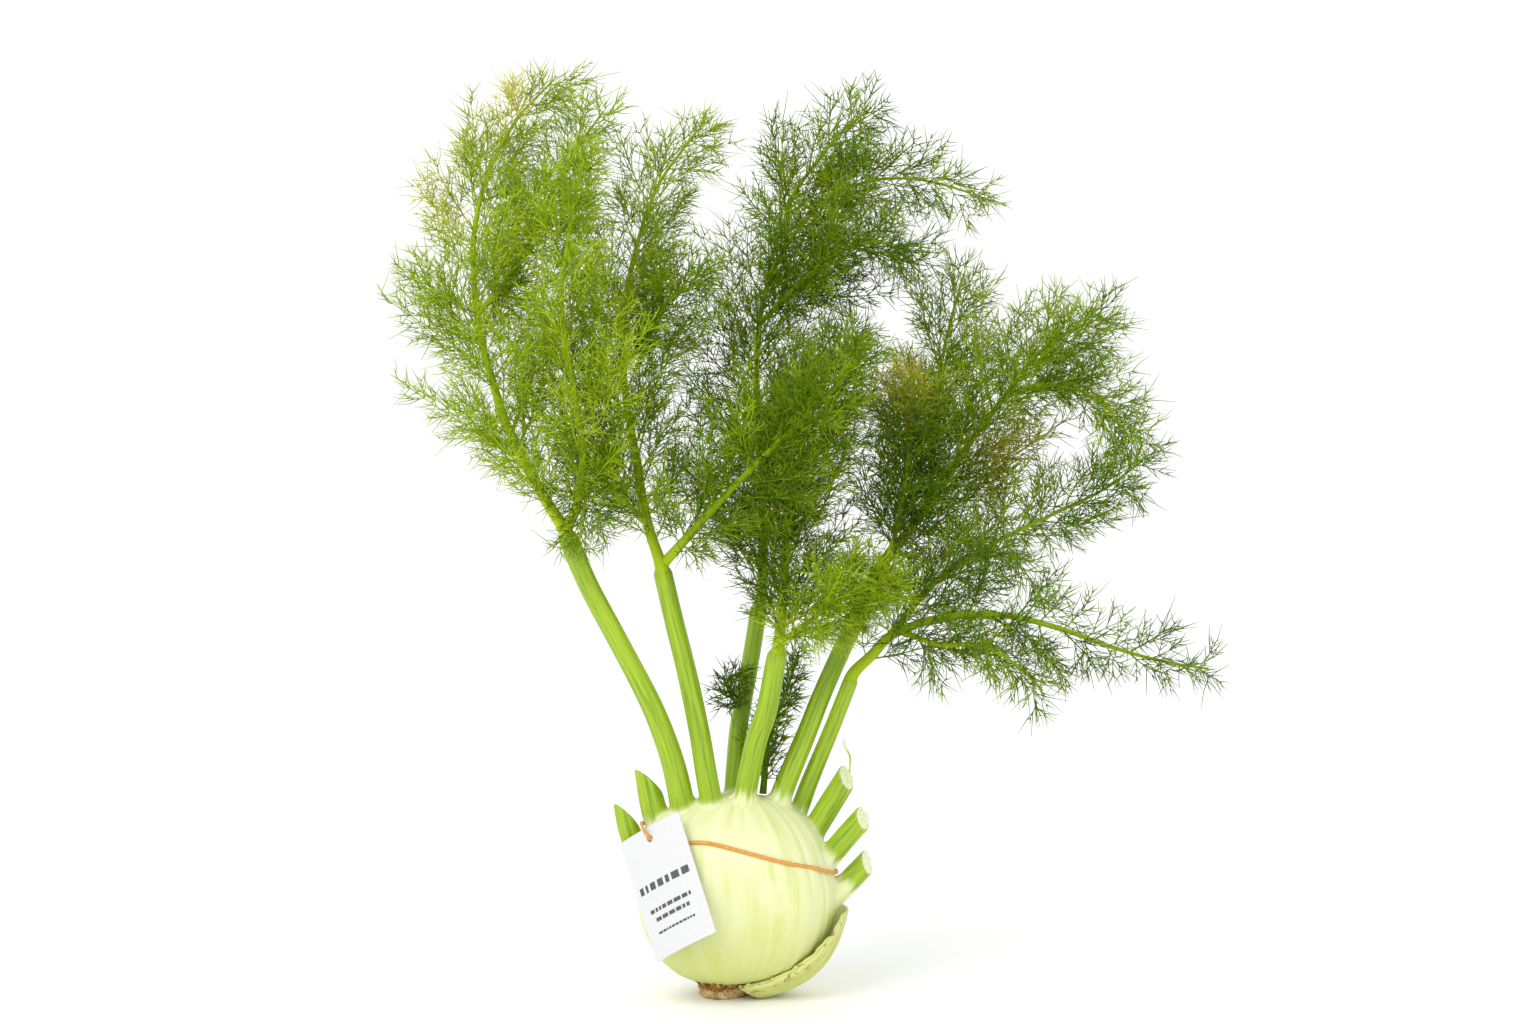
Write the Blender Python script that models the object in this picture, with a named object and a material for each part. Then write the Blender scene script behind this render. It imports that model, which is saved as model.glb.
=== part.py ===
"""Fennel bulb: a trimmed root plate, a swollen bulb with one loose outer sheath, five cut stalks,
six long stalks with feathery fronds, a rubber band round the bulb and a card tag hanging on it.

Metres, +Z up, front towards -Y. The origin is the middle of the flat cut under the root plate,
which is the face that the bulb stands on.
"""
import math
import random

import bmesh
import bpy
from mathutils import Matrix, Vector

MM = 0.001
GAP = 0.0003                      # clearance between neighbouring solids
SEED = 11

# Root plate: half widths of its oval sections from the flat cut upwards
ROOT_TOP = 0.0090
ROOT_SECTIONS = [(0.0, 0.0118, 0.0108), (0.0015, 0.0132, 0.0122), (0.0050, 0.0128, 0.0118),
                 (0.0075, 0.0110, 0.0104), (ROOT_TOP, 0.0116, 0.0110)]
ROOT_SIDES = 22

# Bulb: level sections as (height, left edge, right edge, half thickness)
BULB_SECTIONS = [(0.0093, -0.0130, 0.0160, 0.0140), (0.0110, -0.0190, 0.0290, 0.0195),
                 (0.0150, -0.0270, 0.0405, 0.0250), (0.0220, -0.0350, 0.0505, 0.0300),
                 (0.0320, -0.0415, 0.0575, 0.0340), (0.0440, -0.0460, 0.0615, 0.0365),
                 (0.0580, -0.0480, 0.0625, 0.0370), (0.0720, -0.0480, 0.0600, 0.0350),
                 (0.0850, -0.0450, 0.0555, 0.0310), (0.0960, -0.0390, 0.0490, 0.0250),
                 (0.1040, -0.0300, 0.0410, 0.0190), (0.1100, -0.0170, 0.0310, 0.0130),
                 (0.1130, 0.0000, 0.0180, 0.0070)]
BULB_SIDES = 30
BULB_POWER = 2.25                 # superellipse exponent of the level sections

# Loose outer sheath on the lower right, wrapped round the bulb from rim to rim
SHEATH_FOOT = 0.5                 # section number that it starts at
SHEATH_TIP = 5.4                  # section number that it ends at
SHEATH_RIM_FRONT = (math.radians(-76), math.radians(-16))     # at the foot, at the tip
SHEATH_RIM_BACK = (math.radians(78), math.radians(18))
SHEATH_THICK_FOOT = 0.0105
SHEATH_THICK_TIP = 0.0042
SHEATH_TAPER_FROM = 0.375
SHEATH_TIP_SHARE = 0.18
SHEATH_TAPER_RATE = 1.312
SHEATH_RIM_THICK = 0.0008
SHEATH_LIFT = 0.0055              # how far the tip stands off the bulb
SHEATH_AROUND = 12
SHEATH_ALONG = 11

# Stalks: axis points from the socket outwards, half widths along them, and thickness over width
CUT_STALKS = {
    "cut_stalk_right_low": ([(0.0520, 0.002, 0.0460), (0.0635, 0.002, 0.0570), (0.0730, 0.001, 0.0670),
                             (0.0815, -0.001, 0.0765)], (0.0066, 0.0064, 0.0060), 0.95),
    "cut_stalk_right_mid": ([(0.0500, -0.001, 0.0665), (0.0590, -0.002, 0.0780), (0.0690, -0.004, 0.0905),
                             (0.0785, -0.006, 0.1015)], (0.0064, 0.0063, 0.0062), 0.95),
    "cut_stalk_right_top": ([(0.0440, 0.003, 0.0800), (0.0500, 0.004, 0.0905), (0.0582, 0.003, 0.1045),
                             (0.0690, 0.001, 0.1225)], (0.0063, 0.0066, 0.0062), 0.95),
    "cut_stalk_left_outer": ([(-0.0400, 0.003, 0.0660), (-0.0470, 0.004, 0.0800), (-0.0520, 0.004, 0.0930),
                              (-0.0552, 0.004, 0.1060)], (0.0064, 0.0063, 0.0048), 0.85),
    "cut_stalk_left_inner": ([(-0.0300, 0.001, 0.0830), (-0.0360, 0.001, 0.0975), (-0.0395, 0.002, 0.1110),
                              (-0.0425, 0.003, 0.1240)], (0.0066, 0.0072, 0.0056), 0.80),
}
LONG_STALKS = {
    "stalk_a": ([(-0.0200, -0.003, 0.0950), (-0.0220, -0.005, 0.1080), (-0.0255, -0.008, 0.1260),
                 (-0.0310, -0.011, 0.1450), (-0.0400, -0.015, 0.1680), (-0.0570, -0.020, 0.2020),
                 (-0.0720, -0.023, 0.2310), (-0.0830, -0.025, 0.2570)], (0.0072, 0.0058, 0.0055), 0.88),
    "stalk_b": ([(-0.0045, -0.006, 0.0960), (-0.0065, -0.008, 0.1130), (-0.0090, -0.010, 0.1280),
                 (-0.0125, -0.012, 0.1500), (-0.0190, -0.014, 0.1820), (-0.0260, -0.015, 0.2110),
                 (-0.0320, -0.015, 0.2370)], (0.0063, 0.0056, 0.0052), 0.90),
    "stalk_c": ([(0.0050, 0.009, 0.0980), (0.0065, 0.012, 0.1200), (0.0085, 0.016, 0.1450),
                 (0.0115, 0.021, 0.1620), (0.0165, 0.027, 0.1900), (0.0200, 0.031, 0.2120)],
                (0.0052, 0.0050, 0.0048), 0.95),
    "stalk_d": ([(0.0105, -0.006, 0.0970), (0.0135, -0.008, 0.1180), (0.0190, -0.012, 0.1450),
                 (0.0245, -0.017, 0.1620), (0.0300, -0.021, 0.1920)], (0.0062, 0.0060, 0.0056), 0.92),
    "stalk_e": ([(0.0265, 0.000, 0.0960), (0.0315, 0.000, 0.1090), (0.0355, 0.001, 0.1200),
                 (0.0460, 0.003, 0.1450), (0.0560, 0.005, 0.1700), (0.0705, 0.008, 0.2020),
                 (0.0870, 0.011, 0.2360)], (0.0064, 0.0053, 0.0052), 0.90),
    "stalk_f": ([(0.0375, 0.008, 0.0920), (0.0430, 0.009, 0.1040), (0.0490, 0.009, 0.1200),
                 (0.0590, 0.005, 0.1450), (0.0650, 0.000, 0.1610), (0.0705, -0.004, 0.1760)],
                (0.0054, 0.0046, 0.0042), 0.90),
}
STALK_SIDES = 10
STALK_STEP = 0.015

# Frond limbs: what each grows from, axis points outwards, half width, longest side leaflet
LIMBS = {
    "frond_a_outer": ("stalk_a", [(-0.084, -0.025, 0.2585), (-0.097, -0.028, 0.282), (-0.114, -0.030, 0.315),
                       (-0.125, -0.028, 0.348), (-0.131, -0.024, 0.372), (-0.134, -0.018, 0.398),
                       (-0.134, -0.012, 0.425), (-0.127, -0.006, 0.455), (-0.112, 0.000, 0.484),
                       (-0.092, 0.004, 0.506)], 0.0036, 0.064),
    "frond_a_inner": ("frond_a_outer", [(-0.0795, -0.034, 0.262), (-0.075, -0.039, 0.288), (-0.076, -0.044, 0.321),
                       (-0.082, -0.046, 0.359), (-0.085, -0.045, 0.392), (-0.080, -0.042, 0.430),
                       (-0.073, -0.038, 0.465)], 0.0028, 0.050),
    "frond_a_back": ("frond_a_outer", [(-0.127, -0.016, 0.378), (-0.119, -0.004, 0.395), (-0.106, 0.010, 0.417),
                      (-0.094, 0.022, 0.445), (-0.080, 0.032, 0.470), (-0.066, 0.038, 0.490)], 0.0020, 0.044),
    "frond_b_main": ("stalk_b", [(-0.031, -0.014, 0.2385), (-0.041, -0.008, 0.266), (-0.048, 0.000, 0.304),
                      (-0.054, 0.010, 0.343), (-0.054, 0.018, 0.381), (-0.047, 0.026, 0.417),
                      (-0.035, 0.034, 0.450), (-0.015, 0.042, 0.478)], 0.0034, 0.062),
    "frond_b_front": ("frond_b_main", [(-0.025, -0.0225, 0.246), (-0.012, -0.032, 0.266), (0.011, -0.046, 0.292),
                       (0.039, -0.058, 0.320), (0.058, -0.064, 0.338), (0.074, -0.066, 0.358)], 0.0032, 0.056),
    "frond_b_low": ("frond_b_main", [(-0.048, -0.0125, 0.262), (-0.058, -0.022, 0.283), (-0.066, -0.030, 0.291),
                     (-0.073, -0.040, 0.280), (-0.076, -0.046, 0.258)], 0.0018, 0.040),
    "frond_b_side": ("frond_b_main", [(-0.052, 0.010, 0.352), (-0.042, 0.002, 0.366), (-0.030, -0.008, 0.384),
                      (-0.014, -0.016, 0.403)], 0.0018, 0.042),
    "frond_c_main": ("stalk_c", [(0.0205, 0.032, 0.2135), (0.023, 0.038, 0.250), (0.021, 0.046, 0.300),
                      (0.019, 0.052, 0.350), (0.024, 0.056, 0.390), (0.039, 0.058, 0.420),
                      (0.060, 0.058, 0.442), (0.085, 0.055, 0.452), (0.112, 0.050, 0.452),
                      (0.138, 0.045, 0.445)], 0.0030, 0.058),
    "frond_c_top": ("frond_c_main", [(0.031, 0.064, 0.416), (0.038, 0.071, 0.440), (0.052, 0.077, 0.461),
                     (0.068, 0.080, 0.480), (0.084, 0.081, 0.493)], 0.0017, 0.040),
    "frond_c_side": ("frond_c_main", [(0.026, 0.045, 0.372), (0.042, 0.034, 0.394), (0.064, 0.025, 0.412),
                      (0.088, 0.018, 0.418), (0.106, 0.012, 0.406)], 0.0018, 0.046),
    "frond_d_main": ("stalk_d", [(0.0305, -0.0215, 0.1935), (0.034, -0.021, 0.230), (0.037, -0.017, 0.270),
                      (0.045, -0.010, 0.310), (0.058, -0.002, 0.345), (0.073, 0.006, 0.370)], 0.0034, 0.056),
    "frond_d_front": ("frond_d_main", [(0.036, -0.0285, 0.200), (0.048, -0.038, 0.214), (0.066, -0.049, 0.230),
                       (0.088, -0.056, 0.238)], 0.0022, 0.050),
    "frond_e_main": ("stalk_e", [(0.088, 0.0112, 0.2375), (0.103, 0.012, 0.258), (0.119, 0.010, 0.281),
                      (0.148, 0.004, 0.324), (0.164, 0.000, 0.337), (0.186, -0.004, 0.340),
                      (0.208, -0.008, 0.330), (0.226, -0.010, 0.308)], 0.0034, 0.058),
    "frond_e_top": ("frond_e_main", [(0.155, 0.008, 0.3375), (0.170, 0.018, 0.352), (0.191, 0.028, 0.367),
                     (0.212, 0.036, 0.376)], 0.0018, 0.040),
    "frond_e_upright": ("frond_e_main", [(0.112, 0.0195, 0.277), (0.117, 0.027, 0.300), (0.119, 0.034, 0.332),
                         (0.126, 0.040, 0.368), (0.135, 0.044, 0.400)], 0.0020, 0.046),
    "frond_e_inner": ("frond_e_main", [(0.0885, 0.002, 0.2455), (0.097, -0.012, 0.268), (0.101, -0.022, 0.304),
                       (0.098, -0.028, 0.342)], 0.0018, 0.046),
    "frond_f_main": ("stalk_f", [(0.0715, -0.006, 0.1785), (0.082, -0.013, 0.192), (0.094, -0.021, 0.205),
                      (0.120, -0.031, 0.215), (0.153, -0.037, 0.217), (0.183, -0.037, 0.210),
                      (0.213, -0.034, 0.199), (0.241, -0.031, 0.191), (0.265, -0.029, 0.187)], 0.0036, 0.050),
    "frond_f_back": ("frond_f_main", [(0.092, -0.0125, 0.2075), (0.118, -0.004, 0.232), (0.150, 0.006, 0.252),
                      (0.184, 0.014, 0.268), (0.212, 0.020, 0.281), (0.233, 0.024, 0.296)], 0.0022, 0.050),
    "frond_f_front": ("frond_f_main", [(0.097, -0.0275, 0.2015), (0.118, -0.044, 0.202), (0.138, -0.054, 0.203),
                       (0.156, -0.061, 0.195), (0.172, -0.066, 0.180)], 0.0020, 0.042),
    "heart_leaf": ("", [(0.0225, 0.004, 0.1128), (0.026, 0.006, 0.145), (0.035, 0.009, 0.168),
                    (0.042, 0.012, 0.190)], 0.0022, 0.016),
    "curled_leaf": ("stalk_c", [(0.0065, 0.0100, 0.160), (0.003, 0.004, 0.172), (0.006, -0.001, 0.180),
                     (0.014, -0.002, 0.178)], 0.0013, 0.010),
}
CARRY_ON = ("_main", "_outer")    # limbs that carry on from the top of their stalk
LIMB_SIDES = 6
LIMB_TIP = 0.0008                 # half width at a limb's end
YOUNG_LEAFLET = 0.020
LOWEST_LEAFLET = 0.150
LEAFLET_STEP = 0.028              # distance between pairs of side leaflets
LEAFLET_HALF = 0.0009             # half width of a side leaflet at its foot
LEAFLET_CLEAR = 0.0008            # least distance between two leaflets' skins
LEAFLET_TRIES = 14
LEAFLET_BENDS = 3                 # straight pieces in one side leaflet

# Thin strand that peeled off the top right cut stalk
STRAND_HALF = 0.0006
STRAND_POINTS = [(0.0722, 0.0000, 0.1290), (0.0705, -0.0010, 0.1340), (0.0680, 0.0005, 0.1390),
                 (0.0667, 0.0015, 0.1440)]

# Rubber band: places along its closed loop
BAND_HALF = 0.0010
BAND_SIDES = 7
BAND_STEP = 0.0045
BAND_RIGHT = [(0.0618, 0.0075, 0.0702), (0.0637, 0.0000, 0.0695), (0.0618, -0.0075, 0.0705),
              (0.0582, -0.0150, 0.0725)]
BAND_FRONT = [(0.050, 0.0755), (0.036, 0.0795), (0.021, 0.0836), (0.006, 0.0875), (-0.008, 0.0905),
              (-0.020, 0.0900), (-0.032, 0.0865)]
BAND_LEFT = [(-0.0446, -0.0075, 0.0985), (-0.0446, 0.0000, 0.0965), (-0.0440, 0.0080, 0.0955)]
BAND_BACK = [(-0.030, 0.0905), (-0.012, 0.0880), (0.008, 0.0840), (0.028, 0.0790), (0.044, 0.0745),
             (0.056, 0.0715)]

# Card tag: its middle, its width and height directions, and its size
TAG_WIDTH = 0.0450
TAG_HEIGHT = 0.0705
TAG_THICK = 0.0005
TAG_BOW = 0.0022                  # how far the card's side edges bend back round the bulb
TAG_HOLE = (0.0, 0.0290, 0.0022)  # across, up and radius, from the middle of the card
TAG_MIDDLE = Vector((-0.0309, -0.0303, 0.0667))
TAG_ACROSS = Vector((0.0327, -0.0220, 0.0218)).normalized()
TAG_UP = Vector((-0.0210, 0.0290, 0.0610)).normalized()

COLOURS = {
    "root": (0.42, 0.25, 0.09), "bulb": (0.80, 0.83, 0.55), "sheath": (0.66, 0.70, 0.26),
    "stalk": (0.28, 0.47, 0.03), "frond": (0.09, 0.22, 0.01), "strand": (0.60, 0.66, 0.25),
    "band": (0.85, 0.36, 0.05), "tag": (0.88, 0.88, 0.87),
}
ROUGHNESS = {"root": 0.8, "bulb": 0.35, "sheath": 0.4, "stalk": 0.4, "frond": 0.5, "strand": 0.6,
             "band": 0.55, "tag": 0.6}


def clear_scene():
    """Remove whatever the file starts with."""
    for thing in list(bpy.data.objects):
        bpy.data.objects.remove(thing, do_unlink=True)


def material(kind):
    """The Principled material of one kind of tissue or trim."""
    found = bpy.data.materials.get(kind)
    if found:
        return found
    made = bpy.data.materials.new(kind)
    made.use_nodes = True
    shader = made.node_tree.nodes["Principled BSDF"]
    shader.inputs["Base Color"].default_value = (*COLOURS[kind], 1.0)
    shader.inputs["Roughness"].default_value = ROUGHNESS[kind]
    shader.inputs["Metallic"].default_value = 0.0
    return made


def add_object(name, bm, kind):
    """Turn a bmesh into a named, smooth-shaded object with outward faces."""
    bmesh.ops.recalc_face_normals(bm, faces=bm.faces)
    mesh = bpy.data.meshes.new(name)
    bm.to_mesh(mesh)
    bm.free()
    mesh.shade_smooth()
    mesh.set_sharp_from_angle(angle=math.radians(50))
    mesh.materials.append(material(kind))
    made = bpy.data.objects.new(name, mesh)
    bpy.context.scene.collection.objects.link(made)
    return made


def cut(target, tool):
    """Subtract one object from another and drop the tool."""
    boolean = target.modifiers.new("cut", "BOOLEAN")
    boolean.operation = "DIFFERENCE"
    boolean.solver = "EXACT"
    boolean.object = tool
    bpy.context.view_layer.update()
    graph = bpy.context.evaluated_depsgraph_get()
    result = bpy.data.meshes.new_from_object(target.evaluated_get(graph))
    target.modifiers.clear()
    target.data = result
    bpy.data.objects.remove(tool, do_unlink=True)


def spline(points, t):
    """Catmull-Rom curve through tuples, at t from 0 to the last index."""
    last = len(points) - 1
    i = min(int(t), last - 1)
    f = t - i
    before = points[i - 1] if i > 0 else tuple(2 * a - b for a, b in zip(points[0], points[1]))
    after = points[i + 2] if i + 2 <= last else tuple(2 * a - b for a, b in zip(points[-1], points[-2]))
    return tuple(0.5 * (2 * b + (c - a) * f + (2 * a - 5 * b + 4 * c - d) * f * f
                        + (3 * b - a - 3 * c + d) * f ** 3)
                 for a, b, c, d in zip(before, points[i], points[i + 1], after))


def walk(points, step):
    """Points about one step apart on the smooth curve through the given points."""
    fine = [Vector(spline(points, k / 20)) for k in range(20 * (len(points) - 1) + 1)]
    lengths = [0.0]
    for a, b in zip(fine, fine[1:]):
        lengths.append(lengths[-1] + (b - a).length)
    count = max(2, round(lengths[-1] / step))
    places = []
    at = 0
    for k in range(count + 1):
        want = lengths[-1] * k / count
        while at < len(fine) - 2 and lengths[at + 1] < want:
            at += 1
        share = (want - lengths[at]) / max(lengths[at + 1] - lengths[at], 1e-9)
        places.append(fine[at].lerp(fine[at + 1], min(1.0, share)))
    return places


def directions(points, closed=False):
    """Unit tangent at each point of a path."""
    count = len(points)
    found = []
    for k in range(count):
        before = points[k - 1] if k > 0 or closed else points[k]
        after = points[(k + 1) % count] if k < count - 1 or closed else points[k]
        found.append((after - before).normalized())
    return found


def frames(points, side, closed=False):
    """Two cross directions at each point, carried along without twist from the given side."""
    tangents = directions(points, closed)
    found = []
    for tangent in tangents:
        side = (side - tangent * side.dot(tangent)).normalized()
        found.append((side, tangent.cross(side)))
    return found


def bridge(bm, rings, closed=False):
    """Side faces between rings of equal size; returns them by segment."""
    pairs = list(zip(rings, rings[1:]))
    if closed:
        pairs.append((rings[-1], rings[0]))
    segments = []
    for low, high in pairs:
        count = len(low)
        segments.append([bm.faces.new((low[k], low[(k + 1) % count], high[(k + 1) % count], high[k]))
                         for k in range(count)])
    return segments


def tube(bm, points, halves, sides, flat=1.0, side=Vector((1, 0, 0)), closed=False):
    """Tube of oval sections round a path; returns its side faces by segment."""
    rings = []
    for place, half, (across, through) in zip(points, halves, frames(points, side, closed)):
        ring = []
        for k in range(sides):
            turn = 2 * math.pi * (k + 0.5) / sides
            ring.append(bm.verts.new(place + across * (half * math.cos(turn))
                                     + through * (half * flat * math.sin(turn))))
        rings.append(ring)
    segments = bridge(bm, rings, closed)
    if not closed:
        bm.faces.new(list(reversed(rings[0])))
        bm.faces.new(rings[-1])
    return segments


def bulb_section(number):
    """Height, middle, half width and half thickness of the bulb at a section number."""
    height, left, right, thick = spline(BULB_SECTIONS, number)
    return height, (left + right) / 2, (right - left) / 2, thick


def bulb_point(angle, number, swell=0.0):
    """Point on the bulb's skin, or off it by swell."""
    height, middle, wide, thick = bulb_section(number)
    power = 2 / BULB_POWER
    c, s = math.cos(angle), math.sin(angle)
    return Vector((middle + (wide + swell) * math.copysign(abs(c) ** power, c),
                   (thick + swell) * math.copysign(abs(s) ** power, s), height))


def bulb_normal(angle, number):
    """Outward direction of the bulb's skin."""
    small = 0.01
    last = len(BULB_SECTIONS) - 1
    low, high = max(0.0, number - small), min(float(last), number + small)
    up = bulb_point(angle, high) - bulb_point(angle, low)
    around = bulb_point(angle + small, number) - bulb_point(angle - small, number)
    return around.cross(up).normalized()


def bulb_depth(across, height, swell=0.0):
    """Half thickness of the bulb, or of its skin moved out by swell, at a place on its face."""
    last = len(BULB_SECTIONS) - 1
    low, high = 0.0, float(last)
    for _ in range(30):
        number = (low + high) / 2
        if bulb_section(number)[0] < height:
            low = number
        else:
            high = number
    _, middle, wide, thick = bulb_section(low)
    share = min(1.0, abs(across - middle) / (wide + swell))
    return (thick + swell) * (1 - share ** BULB_POWER) ** (1 / BULB_POWER)


def make_root():
    """Knobbly plate with a flat cut underneath."""
    bm = bmesh.new()
    rings = []
    for height, wide, deep in ROOT_SECTIONS:
        ring = []
        for k in range(ROOT_SIDES):
            turn = 2 * math.pi * k / ROOT_SIDES
            knob = 1 + 0.05 * math.sin(3 * turn + 60 * height / ROOT_TOP) + 0.03 * math.sin(7 * turn)
            ring.append(bm.verts.new((wide * knob * math.cos(turn), deep * knob * math.sin(turn), height)))
        rings.append(ring)
    bridge(bm, rings)
    bm.faces.new(list(reversed(rings[0])))
    bm.faces.new(rings[-1])
    return add_object("root_plate", bm, "root")


def make_bulb():
    """Closed body of the tightly packed inner sheaths, before its stalk sockets are cut."""
    bm = bmesh.new()
    rings = []
    for number in range(len(BULB_SECTIONS)):
        rings.append([bm.verts.new(bulb_point(2 * math.pi * k / BULB_SIDES, number))
                      for k in range(BULB_SIDES)])
    bridge(bm, rings)
    bm.faces.new(list(reversed(rings[0])))
    bm.faces.new(rings[-1])
    return add_object("bulb", bm, "bulb")


def make_sheath():
    """Loose outer sheath: a thick leaf base between two curved rims, resting on the floor."""
    bm = bmesh.new()
    inner, outer = [], []
    for j in range(SHEATH_ALONG + 1):
        up = j / SHEATH_ALONG
        number = SHEATH_FOOT + (SHEATH_TIP - SHEATH_FOOT) * up
        front = SHEATH_RIM_FRONT[0] + (SHEATH_RIM_FRONT[1] - SHEATH_RIM_FRONT[0]) * up
        back = SHEATH_RIM_BACK[0] + (SHEATH_RIM_BACK[1] - SHEATH_RIM_BACK[0]) * up
        lift = SHEATH_LIFT * up ** 3
        body = SHEATH_THICK_FOOT + (SHEATH_THICK_TIP - SHEATH_THICK_FOOT) * up ** 0.6
        if up > SHEATH_TAPER_FROM:
            body *= math.sin(math.pi * min(1.0, SHEATH_TIP_SHARE + SHEATH_TAPER_RATE * (1 - up)) / 2)
        for row in (inner, outer):
            row.append([])
        for i in range(SHEATH_AROUND + 1):
            round_ = i / SHEATH_AROUND
            angle = front + (back - front) * round_
            place = bulb_point(angle, number)
            out = bulb_normal(angle, number)
            thick = SHEATH_RIM_THICK + (body - SHEATH_RIM_THICK) * math.sin(math.pi * round_) ** 0.7
            near = place + out * (3 * GAP + lift)
            far = near + out * thick
            far.z = max(0.0, far.z)
            inner[-1].append(bm.verts.new(near))
            outer[-1].append(bm.verts.new(far))
    for j in range(SHEATH_ALONG):
        for i in range(SHEATH_AROUND):
            bm.faces.new((inner[j][i], inner[j + 1][i], inner[j + 1][i + 1], inner[j][i + 1]))
            bm.faces.new((outer[j][i], outer[j][i + 1], outer[j + 1][i + 1], outer[j + 1][i]))
        for i in (0, SHEATH_AROUND):
            bm.faces.new((inner[j][i], outer[j][i], outer[j + 1][i], inner[j + 1][i]))
    for i in range(SHEATH_AROUND):
        for j in (0, SHEATH_ALONG):
            bm.faces.new((inner[j][i], inner[j][i + 1], outer[j][i + 1], outer[j][i]))
    return add_object("outer_sheath", bm, "sheath")


def stalk_mesh(points, halves, flat, swell=0.0):
    """Solid stalk as a bmesh, its half widths read along the smooth axis."""
    places = walk(points, STALK_STEP)
    last = len(places) - 1
    widths = [spline([(half,) for half in halves], (len(halves) - 1) * k / last)[0] + swell
              for k in range(last + 1)]
    if swell:
        ends = directions(places)
        places[0] = places[0] - ends[0] * swell
    bm = bmesh.new()
    tube(bm, places, widths, STALK_SIDES, flat)
    return bm


def make_stalks(bulb):
    """Every stalk, each standing in its own socket in the bulb."""
    for name, (points, halves, flat) in (CUT_STALKS | LONG_STALKS).items():
        add_object(name, stalk_mesh(points, halves, flat), "stalk")
        cut(bulb, add_object("socket", stalk_mesh(points, halves, flat, 1.5 * GAP), "stalk"))


def segment_distance(a, b, c, d):
    """Least distance between segments a-b and c-d."""
    u, v, w = b - a, d - c, a - c
    uu, uv, vv, uw, vw = u.dot(u), u.dot(v), v.dot(v), u.dot(w), v.dot(w)
    det = uu * vv - uv * uv
    s = min(1.0, max(0.0, (uv * vw - vv * uw) / det)) if det > 1e-16 else 0.0
    t = min(1.0, max(0.0, (uv * s + vw) / vv)) if vv > 1e-16 else 0.0
    s = min(1.0, max(0.0, (uv * t - uw) / uu)) if uu > 1e-16 else 0.0
    return (w + u * s - v * t).length


class Space:
    """The thin pieces placed so far, so that a new leaflet can grow clear of them."""

    def __init__(self):
        self.pieces = []

    def add(self, points, halves, owner):
        for a, b, half in zip(points, points[1:], halves):
            self.pieces.append((a, b, half, owner, (a + b) / 2, (b - a).length / 2))

    def is_free(self, points, halves, owner):
        """Whether a path stays clear; its first piece may touch its own limb."""
        for number, (a, b, half) in enumerate(zip(points, points[1:], halves)):
            middle, reach = (a + b) / 2, (b - a).length / 2
            for c, d, other, whose, centre, radius in self.pieces:
                if number == 0 and whose == owner:
                    continue
                need = half + other + LEAFLET_CLEAR
                if (middle - centre).length > reach + radius + need:
                    continue
                if segment_distance(a, b, c, d) < need:
                    return False
        return True


def stalk_end(name):
    """The top of a long stalk: its last axis point, its direction there and its half width."""
    points, halves, _flat = LONG_STALKS[name]
    places = walk(points, STALK_STEP)
    return places[-1], directions(places)[-1], halves[-1]


def seat_on_side(points, half, axis, thick):
    """Move a limb's foot to just clear of the side that it grows from."""
    foot = Vector(points[0])
    nearest = min(range(len(axis)), key=lambda k: (axis[k] - foot).length)
    along = directions(axis)[nearest]
    out = (Vector(points[1]) - axis[nearest]).normalized()
    slope = abs(out.dot(along))
    reach = (thick + 2 * GAP + half * slope) / math.sqrt(1 - slope * slope)
    return [tuple(axis[nearest] + out * reach)] + points[1:]


def seated(name):
    """A limb's axis points, starting on the stalk's top or on the side of what it grows from."""
    parent, points, half, _longest = LIMBS[name]
    if name.endswith(CARRY_ON):
        top, along, _half = stalk_end(parent)
        return [tuple(top + along * 2 * GAP), tuple(top + along * 0.007)] + points[1:]
    if parent in LONG_STALKS:
        stalk, halves, _flat = LONG_STALKS[parent]
        return seat_on_side(points, half, walk(stalk, 0.002), halves[0])
    if parent:
        return seat_on_side(points, half, walk(seated(parent), 0.002), LIMBS[parent][2])
    return points


def limb_path(name):
    """A limb's axis, with a short piece at each place where side leaflets leave it."""
    parent, _points, half, _longest = LIMBS[name]
    points = seated(name)
    places = walk(points, LEAFLET_STEP)
    carries_on = name.endswith(CARRY_ON)
    knots = [places[0], Vector(points[1])] if carries_on else [places[0]]
    nodes = []
    short = LEAFLET_HALF * 2.4
    for k in range(1, len(places) - 1):
        along = (places[k + 1] - places[k - 1]).normalized() * (short / 2)
        nodes.append(len(knots))
        knots.extend((places[k] - along, places[k] + along))
    knots.append(places[-1])
    total = len(knots) - 1
    halves = [half + (LIMB_TIP - half) * (k / total) ** 0.8 for k in range(total + 1)]
    if carries_on:
        halves[0] = stalk_end(parent)[2]
    return knots, halves, nodes


def leaflet_path(start, out, tangent, length, rng):
    """A side leaflet that leaves along out and bends towards the limb's own direction."""
    heading = (out * 0.85 + tangent * 0.62).normalized()
    droop = Vector((rng.uniform(-0.15, 0.15), rng.uniform(-0.15, 0.15), rng.uniform(-0.05, 0.25)))
    places = [start]
    step = length / LEAFLET_BENDS
    for k in range(LEAFLET_BENDS):
        heading = (heading + (tangent * 0.22 + droop) * (0.4 + 0.3 * k)).normalized()
        places.append(places[-1] + heading * step)
    return places


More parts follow.
